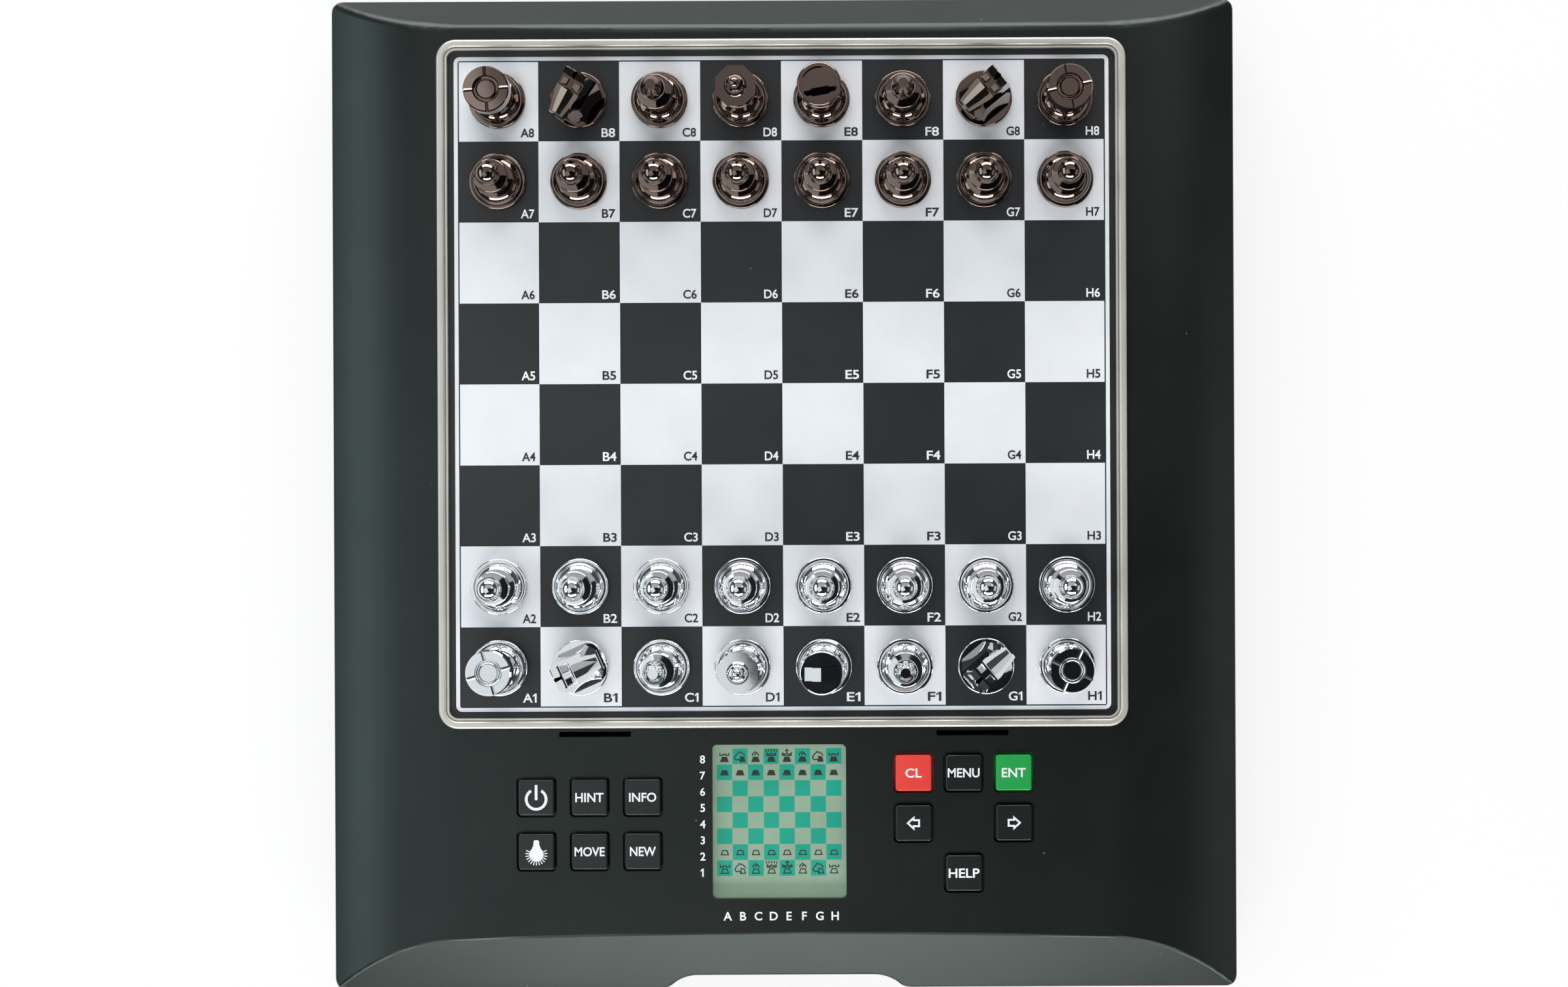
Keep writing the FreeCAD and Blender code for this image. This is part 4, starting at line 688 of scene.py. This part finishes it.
def thicken(shape, thickness):
    """Turns the flat faces of a bmesh into closed slabs that rise by a thickness."""
    grown = bmesh.ops.extrude_face_region(shape, geom=shape.faces[:], use_keep_orig=True)
    tops = [item for item in grown["geom"] if isinstance(item, bmesh.types.BMVert)]
    bmesh.ops.translate(shape, verts=tops, vec=(0, 0, thickness))
    bmesh.ops.recalc_face_normals(shape, faces=shape.faces[:])


def flat_box(shape, low_x, high_x, low_y, high_y, z):
    """One upright rectangle face; returns its new vertices."""
    place = Matrix.Translation(((low_x + high_x) / 2, (low_y + high_y) / 2, z))
    size = Matrix.Diagonal((high_x - low_x, high_y - low_y, 1, 1))
    made = bmesh.ops.create_grid(shape, x_segments=1, y_segments=1, size=HALF_UNIT, matrix=place @ size)
    return made["verts"]


def is_dark(file_index, rank_index):
    """The corner square nearest the player on the left is dark."""
    return (file_index + rank_index) % 2 == 0


def square_edge(index):
    """Edge of a file or rank from the board's middle, kept inside the print."""
    edge = (index - RANKS / 2) * SQUARE
    return max(-PRINT_HALF, min(PRINT_HALF, edge))


squares = bmesh.new()
for file_index in range(RANKS):
    for rank_index in range(RANKS):
        if not is_dark(file_index, rank_index):
            flat_box(squares,
                     BOARD_MIDDLE.x + square_edge(file_index), BOARD_MIDDLE.x + square_edge(file_index + 1),
                     BOARD_MIDDLE.y + square_edge(rank_index), BOARD_MIDDLE.y + square_edge(rank_index + 1),
                     BOARD_TOP)
thicken(squares, INK)
make_piece("board_squares", squares, ink_white, CASING)

# %% Frame line round the squares
LINE_OUTER = 101.1 * MM
LINE_WIDTH = 1.2 * MM
LINE_CORNER = 1.9 * MM
CORNER_STEPS = 6
ROUND_PROFILE = 0.5


def rounded_face(shape, half_x, half_y, centre, z, corner):
    """Rectangle face with rounded corners."""
    verts = flat_box(shape, centre.x - half_x, centre.x + half_x, centre.y - half_y, centre.y + half_y, z)
    bmesh.ops.bevel(shape, geom=verts, offset=corner, affect="VERTICES", segments=CORNER_STEPS,
                    profile=ROUND_PROFILE, material=-1)


frame_line = bmesh.new()
rounded_face(frame_line, LINE_OUTER, LINE_OUTER, BOARD_MIDDLE, BOARD_TOP, LINE_CORNER)
middle_faces = frame_line.faces[:]
bmesh.ops.inset_region(frame_line, faces=middle_faces, thickness=LINE_WIDTH, use_boundary=True)
bmesh.ops.delete(frame_line, geom=middle_faces, context="FACES")
thicken(frame_line, INK)
make_piece("board_frame_line", frame_line, ink_white, CASING)

# %% [markdown]
# ## Words and numbers
# Names of squares, key words and the numbers by the display are printed too. A text object is turned into a
# mesh, scaled so that its capitals have the right height, set in place and merged into one bmesh. The
# outline is grown a little, which makes the strokes bold like those in the photograph.

# %% Lettering helper
TEXT_DEPTH = 0.5
TEXT_STEPS = 5
LETTER_WELD = 0.0005 * MM
ONE_BAR = 0.098
FLAG = [(0.03, -0.005), (-0.15, -0.16), (-0.15, -0.27), (0.03, -0.14)]
FLAG_SINK = 0.02


def flag_of_one(shape, bar_x, top_y, place):
    """Adds the slanted flag that the font's plain figure one lacks, left of its bar."""
    flag = bmesh.new()
    flag.faces.new([flag.verts.new((bar_x + x, top_y + y, -TEXT_DEPTH)) for x, y in FLAG])
    thicken(flag, 2 * TEXT_DEPTH - FLAG_SINK)
    flag.transform(place)
    mesh = bpy.data.meshes.new("flag")
    flag.to_mesh(mesh)
    flag.free()
    shape.from_mesh(mesh)
    bpy.data.meshes.remove(mesh)


def letter(shape, word, centre_x, centre_y, z, height, bold, width=None):
    """Adds a printed word of a height, centred on a place; a width, if given, squeezes or stretches it."""
    curve = bpy.data.curves.new("word", "FONT")
    curve.body = word
    curve.extrude = TEXT_DEPTH
    curve.offset = bold
    curve.resolution_u = TEXT_STEPS
    writer = bpy.data.objects.new("word", curve)
    bpy.context.scene.collection.objects.link(writer)
    graph = bpy.context.evaluated_depsgraph_get()
    mesh = bpy.data.meshes.new_from_object(writer.evaluated_get(graph))
    bpy.data.objects.remove(writer)
    bpy.data.curves.remove(curve)
    lows = [min(vertex.co[axis] for vertex in mesh.vertices) for axis in range(2)]
    highs = [max(vertex.co[axis] for vertex in mesh.vertices) for axis in range(2)]
    up = height / (highs[1] - lows[1])
    across = up if width is None else width / (highs[0] - lows[0])
    middle = Matrix.Translation((-(lows[0] + highs[0]) / 2, -(lows[1] + highs[1]) / 2, TEXT_DEPTH))
    size = Matrix.Diagonal((across, up, INK / (2 * TEXT_DEPTH), 1))
    place = Matrix.Translation((centre_x, centre_y, z)) @ size @ middle
    mesh.transform(place)
    shape.from_mesh(mesh)
    bpy.data.meshes.remove(mesh)
    if word.endswith("1"):
        flag_of_one(shape, highs[0] - ONE_BAR - 2 * bold, highs[1], place)


def close_letters(shape):
    """Joins the front, back and side faces of the letters into closed shells."""
    bmesh.ops.remove_doubles(shape, verts=shape.verts[:], dist=LETTER_WELD)


# %% Names of the squares
LABEL_HEIGHT = 2.8 * MM
LABEL_WIDTH = 4.2 * MM
LABEL_RIGHT = 1.3 * MM
LABEL_UP = 1.2 * MM
LABEL_KINDS = ((True, ink_label_white, BOARD_TOP, 0.016), (False, ink_label_dark, BOARD_TOP + INK, 0.022))

for dark, finish, base, bold in LABEL_KINDS:
    labels = bmesh.new()
    for file_index in range(RANKS):
        for rank_index in range(RANKS):
            if is_dark(file_index, rank_index) == dark:
                right = BOARD_MIDDLE.x + square_edge(file_index + 1) - LABEL_RIGHT
                bottom = BOARD_MIDDLE.y + square_edge(rank_index) + LABEL_UP
                letter(labels, FILES[file_index] + str(rank_index + 1), right - LABEL_WIDTH / 2,
                       bottom + LABEL_HEIGHT / 2, base, LABEL_HEIGHT, bold, LABEL_WIDTH)
    close_letters(labels)
    make_piece("square_names_" + ("dark" if dark else "white"), labels, finish, CASING)

# %% Numbers and letters beside the display
DIGIT_X = -25.1 * MM
DIGIT_TOP_Y = -81.8 * MM
DIGIT_STEP = 4.99 * MM
DIGIT_HEIGHT = 2.5 * MM
FILE_LETTER_Y = -130.2 * MM
FILE_LETTER_X = -17.5 * MM
FILE_LETTER_STEP = 4.73 * MM
FILE_LETTER_HEIGHT = 2.65 * MM
GUIDE_BOLD = 0.017

guides = bmesh.new()
for index in range(RANKS):
    letter(guides, str(RANKS - index), DIGIT_X, DIGIT_TOP_Y - index * DIGIT_STEP, PANEL_Z, DIGIT_HEIGHT,
           GUIDE_BOLD)
    letter(guides, FILES[index], FILE_LETTER_X + index * FILE_LETTER_STEP, FILE_LETTER_Y, PANEL_Z,
           FILE_LETTER_HEIGHT, GUIDE_BOLD)
close_letters(guides)
make_piece("display_guides", guides, ink_label_white, CASING)

# %% [markdown]
# ## Picture on the display
# The display shows the starting position on a small board of its own. Its dark squares are teal segments,
# and its chessmen are dark ones: filled for the side at the top, drawn in outline for the side at the
# bottom. The signs are simple ones of our own: a block for the foot, and a crenel, cap, crown, cross or head
# above it.

# %% Teal segments
SEGMENT_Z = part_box("display_panel")[1].z
SEGMENT = 0.02 * MM
FIELD_LEFT = -21.0 * MM
FIELD_RIGHT = 17.7 * MM
FIELD_BOTTOM = -118.4 * MM
FIELD_TOP = -78.8 * MM
CELL_WIDTH = (FIELD_RIGHT - FIELD_LEFT) / RANKS
CELL_HEIGHT = (FIELD_TOP - FIELD_BOTTOM) / RANKS
CELL_GAP = 0.06 * MM

segments = bmesh.new()
for file_index in range(RANKS):
    for rank_index in range(RANKS):
        if is_dark(file_index, rank_index):
            left = FIELD_LEFT + file_index * CELL_WIDTH
            bottom = FIELD_BOTTOM + rank_index * CELL_HEIGHT
            flat_box(segments, left + CELL_GAP, left + CELL_WIDTH - CELL_GAP, bottom + CELL_GAP,
                     bottom + CELL_HEIGHT - CELL_GAP, SEGMENT_Z)
thicken(segments, SEGMENT)
make_piece("display_squares", segments, display_teal, CASING)

# %% Signs of the chessmen
SIGN_LINE = 0.34 * MM
STROKE_LIFT = 0.004 * MM
FOOT = [(-1.36, 0.7), (1.36, 0.7), (0.78, 2.35), (-0.78, 2.35)]
CRENEL = [(-1.4, 3.4), (-1.4, 2.8), (-0.45, 2.8), (-0.45, 3.15),
          (0.45, 3.15), (0.45, 2.8), (1.4, 2.8), (1.4, 3.4)]
CAP = [(-0.95, 2.75), (-0.95, 3.2), (-0.1, 3.85), (0.75, 3.2), (0.95, 2.75)]
CAP_CUT = [(-0.3, 2.9), (0.3, 3.4)]
CROWN = [(-1.4, 2.75), (-1.4, 3.45), (-0.7, 2.95), (0.0, 3.5),
         (0.7, 2.95), (1.4, 3.45), (1.4, 2.75), (-1.4, 2.75)]
RAYS = [[(-1.5, 3.95), (-1.75, 4.4)], [(-0.8, 4.05), (-0.9, 4.55)], [(0.0, 4.1), (0.0, 4.6)],
        [(0.8, 4.05), (0.9, 4.55)], [(1.5, 3.95), (1.75, 4.4)]]
CROSS = [[(0.0, 3.7), (0.0, 4.65)], [(-0.42, 4.25), (0.42, 4.25)]]
HEAD = [(0.2, 0.7), (-0.3, 1.5), (-1.3, 1.35), (-1.75, 2.0), (-1.2, 3.0), (-0.6, 3.5)]
MANE = [[(-0.5, 3.9), (0.0, 3.6)], [(0.3, 3.75), (0.9, 3.35)], [(1.1, 3.2), (1.5, 2.7)]]
BACK = [(0.0, 0.7), (1.75, 0.7), (1.3, 2.3), (0.0, 2.6)]
BACK_ROW = "RNBQKBNR"
PAWN_RISE = 0.8
SIGN_PARTS = {
    "P": {"block": FOOT, "lines": []},
    "R": {"block": FOOT, "lines": [CRENEL]},
    "B": {"block": FOOT, "lines": [CAP, CAP_CUT]},
    "Q": {"block": FOOT, "lines": [CROWN, *RAYS]},
    "K": {"block": FOOT, "lines": [CROWN, *CROSS]},
    "N": {"block": BACK, "lines": [HEAD, *MANE]},
}


def stroke(shape, start, end, width, z):
    """Straight line of a width between two points, with its ends run out by half the width."""
    run = Vector(end) - Vector(start)
    middle = (Vector(start) + Vector(end)) / 2
    turn = Matrix.Rotation(math.atan2(run.y, run.x), 4, "Z")
    size = Matrix.Diagonal((run.length + width, width, 1, 1))
    place = Matrix.Translation((middle.x, middle.y, z))
    bmesh.ops.create_grid(shape, x_segments=1, y_segments=1, size=HALF_UNIT, matrix=place @ turn @ size)


def chain(shape, points, width, z):
    """Strokes along a chain of points; every second one lies a hair higher, so no two faces coincide."""
    for index, (start, end) in enumerate(zip(points, points[1:])):
        stroke(shape, start, end, width, z + index % 2 * STROKE_LIFT)


def ring(shape, corners, width, z):
    """Closed line of a width along the inside of a chain of corners, made by an inset."""
    face = shape.faces.new([shape.verts.new((x, y, z)) for x, y in corners])
    face.normal_update()
    bmesh.ops.inset_region(shape, faces=[face], thickness=width, use_boundary=True, use_even_offset=True)
    bmesh.ops.delete(shape, geom=[face], context="FACES")


def sign(shape, kind, filled, origin, rise):
    """Chessman's sign with its foot at an origin, lifted by a rise in millimetres."""
    def placed(points):
        return [(origin.x + x * MM, origin.y + (y + rise) * MM) for x, y in points]

    block = placed(SIGN_PARTS[kind]["block"])
    if filled:
        shape.faces.new([shape.verts.new((x, y, SEGMENT_Z)) for x, y in block])
    else:
        ring(shape, block, SIGN_LINE, SEGMENT_Z)
    for points in SIGN_PARTS[kind]["lines"]:
        chain(shape, placed(points), SIGN_LINE, SEGMENT_Z)


signs = bmesh.new()
for file_index in range(RANKS):
    for rank_index, kind, filled in ((0, BACK_ROW[file_index], False), (1, "P", False),
                                     (6, "P", True), (7, BACK_ROW[file_index], True)):
        origin = Vector((FIELD_LEFT + (file_index + 0.5) * CELL_WIDTH,
                         FIELD_BOTTOM + rank_index * CELL_HEIGHT))
        sign(signs, kind, filled, origin, PAWN_RISE if kind == "P" else 0)
thicken(signs, 2 * SEGMENT)
make_piece("display_signs", signs, display_ink, CASING)

# %% [markdown]
# ## Key legends
# Each legend is printed on its key and has to go down with it, so it rides the key's own body. Words use
# the lettering helper. The power, lamp and arrow signs are drawn from arcs, strokes and a few corners.

# %% Words on the keys
LEGEND_HEIGHT = 2.85 * MM
LEGEND_BOLD = 0.018
KEY_WORDS = {"key_hint": ("HINT", 8.7), "key_info": ("INFO", 8.4), "key_move": ("MOVE", 9.3),
             "key_new": ("NEW", 8.0), "key_clear": ("CL", 5.0), "key_menu": ("MENU", 9.8),
             "key_enter": ("ENT", 7.4), "key_help": ("HELP", 9.5)}


def key_middle(node):
    """Middle of a key's top."""
    low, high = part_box(node)
    return Vector(((low.x + high.x) / 2, (low.y + high.y) / 2, high.z))


for node, (word, width) in KEY_WORDS.items():
    top = key_middle(node)
    legend = bmesh.new()
    letter(legend, word, top.x, top.y, top.z, LEGEND_HEIGHT, LEGEND_BOLD, width * MM)
    close_letters(legend)
    make_piece("legend_" + node, legend, ink_label_white, node)

# %% Power sign
POWER_RADIUS = 3.05 * MM
POWER_DROP = 0.5 * MM
POWER_BAR = (-0.3 * MM, 3.5 * MM)
SIGN_STROKE = 0.85 * MM
POWER_GAP = math.radians(62)
ARC_STEPS = 40


def arc_band(shape, centre, radius, width, start, sweep):
    """Flat band along an arc, made by spinning one edge."""
    inner = shape.verts.new((centre.x + radius - width / 2, centre.y, centre.z))
    outer = shape.verts.new((centre.x + radius + width / 2, centre.y, centre.z))
    edge = shape.edges.new((inner, outer))
    bmesh.ops.rotate(shape, verts=[inner, outer], cent=centre, matrix=Matrix.Rotation(start, 3, "Z"))
    bmesh.ops.spin(shape, geom=[inner, outer, edge], cent=centre, axis=(0, 0, 1), angle=sweep,
                   steps=ARC_STEPS)


power = bmesh.new()
top = key_middle("key_power")
arc_band(power, top - Vector((0, POWER_DROP, 0)), POWER_RADIUS, SIGN_STROKE, math.pi / 2 + POWER_GAP / 2,
         2 * math.pi - POWER_GAP)
stroke(power, (top.x, top.y + POWER_BAR[0]), (top.x, top.y + POWER_BAR[1]), SIGN_STROKE, top.z)
thicken(power, INK)
make_piece("legend_key_power", power, ink_label_white, "key_power")

# %% Lamp sign
BULB_RADIUS = 2.2 * MM
BULB_DROP = 0.8 * MM
BULB_START = math.radians(50)
BULB_SWEEP = math.radians(-280)
NECK = [(-0.9, 2.1), (-0.85, 3.2), (-0.5, 3.6), (0.5, 3.6), (0.85, 3.2), (0.9, 2.1)]
RAY_COUNT = 15
RAY_START = math.radians(-202)
RAY_SWEEP = math.radians(224)
RAY_INNER = 2.45 * MM
RAY_OUTER = 3.25 * MM
RAY_WIDTH = 0.28 * MM

lamp_sign = bmesh.new()
top = key_middle("key_light")
bulb = Vector((top.x, top.y - BULB_DROP, top.z))
shoulder = lamp_sign.verts.new((bulb.x + BULB_RADIUS, bulb.y, bulb.z))
bmesh.ops.rotate(lamp_sign, verts=[shoulder], cent=bulb, matrix=Matrix.Rotation(BULB_START, 3, "Z"))
bmesh.ops.spin(lamp_sign, geom=[shoulder], cent=bulb, axis=(0, 0, 1), angle=BULB_SWEEP, steps=ARC_STEPS)
round_part = lamp_sign.verts[:]
neck_part = [lamp_sign.verts.new((top.x + x * MM, top.y + y * MM, top.z)) for x, y in NECK]
lamp_sign.faces.new([*round_part, *neck_part])
for index in range(RAY_COUNT):
    angle = RAY_START + RAY_SWEEP * index / (RAY_COUNT - 1)
    ray = Vector((math.cos(angle), math.sin(angle)))
    stroke(lamp_sign, bulb.xy + ray * RAY_INNER, bulb.xy + ray * RAY_OUTER, RAY_WIDTH, top.z)
thicken(lamp_sign, INK)
make_piece("legend_key_light", lamp_sign, ink_label_white, "key_light")

# %% Arrow signs
ARROW = [(-2.25, 0.0), (0.25, 2.25), (0.25, 1.2), (1.95, 1.2), (1.95, -1.2), (0.25, -1.2), (0.25, -2.25)]
ARROW_STROKE = 0.56 * MM
for node, heading in (("key_left", 1), ("key_right", -1)):
    top = key_middle(node)
    arrow = bmesh.new()
    ring(arrow, [(top.x + heading * x * MM, top.y + y * MM) for x, y in ARROW], ARROW_STROKE, top.z)
    thicken(arrow, INK)
    make_piece("legend_" + node, arrow, ink_label_white, node)

# %% [markdown]
# ## Faces of the knights
# The plated knights have flat facets, as if cut from a bar. Seen from above, a low ridge runs down the
# muzzle and a block stands over each eye in front of the ears. Both are closed blocks round a few points,
# sunk a little into the head, so their edges stay crisp in the plating. A knight looks along X before its
# turn, which is given in degrees.

# %% Muzzle ridges and brows
KNIGHT_TURNS = {"black_knight_b8": -123.0, "black_knight_g8": -141.0,
                "white_knight_b1": 24.0, "white_knight_g1": 40.0}
RIDGE_BACK = [(0.7, 3.5, 21.5), (0.7, -3.5, 21.5), (0.7, 0.0, 22.5)]
RIDGE_FRONT = [(8.1, 2.2, 18.4), (8.1, -2.2, 18.4), (8.1, 0.0, 19.2)]
BROW_FOOT = [(-2.5, 0.8, 22.4), (0.0, 0.8, 22.4), (0.0, 3.3, 22.4), (-2.5, 3.3, 22.4)]
BROW_TOP = [(-2.2, 1.1, 23.7), (-0.5, 1.1, 23.3), (-0.5, 2.9, 23.1), (-2.2, 2.9, 23.5)]


def square_middle(index):
    """Middle of a file or rank from the board's middle."""
    return (index + 0.5 - RANKS / 2) * SQUARE


def facet_block(shape, points, place):
    """Closed block with flat faces round a few points in millimetres."""
    corners = [shape.verts.new(place @ (Vector(point) * MM)) for point in points]
    bmesh.ops.convex_hull(shape, input=corners)


for node, turn in KNIGHT_TURNS.items():
    file_index = FILES.index(node[-2].upper())
    rank_index = int(node[-1]) - 1
    foot = Vector((BOARD_MIDDLE.x + square_middle(file_index), BOARD_MIDDLE.y + square_middle(rank_index),
                   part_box(node)[0].z))
    stand = Matrix.Translation(foot) @ Matrix.Rotation(math.radians(turn), 4, "Z")
    face = bmesh.new()
    facet_block(face, RIDGE_BACK + RIDGE_FRONT, stand)
    for side in (-1, 1):
        facet_block(face, BROW_FOOT + BROW_TOP, stand @ Matrix.Diagonal((1, side, 1, 1)))
    bmesh.ops.recalc_face_normals(face, faces=face.faces[:])
    colour = node.split("_")[0]
    finish = bright_chrome if colour == "white" else smoked_chrome
    make_piece("face_" + node, face, finish, node)

# %% [markdown]
# ## Power inlet
# The inlet's pin and the springy sleeve in its bore are metal on the real part, so a turned pin and a lining
# lie over the plastic of the socket. Both are spun from a short profile about the inlet's own axis.

# %% Metal of the inlet
inlet_low, inlet_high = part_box("dc_socket")
INLET_RISE = 6.0 * MM
INLET_AXIS = Vector(((inlet_low.x + inlet_high.x) / 2, inlet_high.y, inlet_low.z + INLET_RISE))
PIN_PROFILE = [(0.0, -0.35), (0.6, -0.4), (1.02, -0.9), (1.02, -8.9), (0.0, -8.9)]
LINING_PROFILE = [(3.08, -0.8), (2.9, -0.8), (2.9, -8.8), (3.08, -8.8)]
TURN_STEPS = 32
TURN_WELD = 0.001 * MM


def turned(shape, profile, foot, along, close=False):
    """Spins a profile of radius and height pairs, in millimetres, about an axis that starts at a foot."""
    corners = [shape.verts.new(foot + Vector((radius * MM, 0, 0)) + along * height * MM)
               for radius, height in profile]
    ends = [*corners[1:], corners[0]] if close else corners[1:]
    edges = [shape.edges.new(pair) for pair in zip(corners, ends)]
    bmesh.ops.spin(shape, geom=[*corners, *edges], cent=foot, axis=along, angle=2 * math.pi,
                   steps=TURN_STEPS, use_merge=True)
    bmesh.ops.remove_doubles(shape, verts=shape.verts[:], dist=TURN_WELD)
    bmesh.ops.recalc_face_normals(shape, faces=shape.faces[:])
    for face in shape.faces:
        face.smooth = True


inlet_metal = bmesh.new()
turned(inlet_metal, PIN_PROFILE, INLET_AXIS, Vector((0, 1, 0)))
turned(inlet_metal, LINING_PROFILE, INLET_AXIS, Vector((0, 1, 0)), close=True)
make_piece("inlet_metal", inlet_metal, nickel, CASING)

# %% [markdown]
# ## Key mats
# Under the keys lie two silicone mats with a hollow dome for each key. A real dome buckles when its key
# goes down. Here the mats are built again as rounded sheets, and every dome is a spun piece of its own with
# a mesh of its own, riding the casing.

# %% Sheets of the mats
mat_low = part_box("keypad_mats")[0]
MAT_THICKNESS = 0.8 * MM
MAT_MARGIN = 7.6 * MM
MAT_CORNER = 2.0 * MM
KEYS = [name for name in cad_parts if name.startswith("key_")]

mats = bmesh.new()
for side in (-1, 1):
    middles = [key_middle(node) for node in KEYS if key_middle(node).x * side > 0]
    low = Vector(min(place[axis] for place in middles) for axis in range(2))
    high = Vector(max(place[axis] for place in middles) for axis in range(2))
    half = (high - low) / 2 + Vector((MAT_MARGIN, MAT_MARGIN))
    rounded_face(mats, half.x, half.y, (low + high) / 2, mat_low.z, MAT_CORNER)
thicken(mats, MAT_THICKNESS)
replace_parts(make_piece("key_mats", mats, mat_grey, CASING), "keypad_mats")

# %% Domes under the keys
DOME_PROFILE = [(0.0, 1.85), (2.35, 1.85), (2.6, 1.65), (3.9, 0.15),
                (4.0, 0.0), (3.3, 0.0), (2.1, 1.2), (0.0, 1.2)]

for node in KEYS:
    foot = Vector((key_middle(node).x, key_middle(node).y, mat_low.z + MAT_THICKNESS))
    dome = bmesh.new()
    turned(dome, DOME_PROFILE, foot, Vector((0, 0, 1)))
    piece = make_piece("dome_" + node, dome, mat_grey, CASING)
    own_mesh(piece)
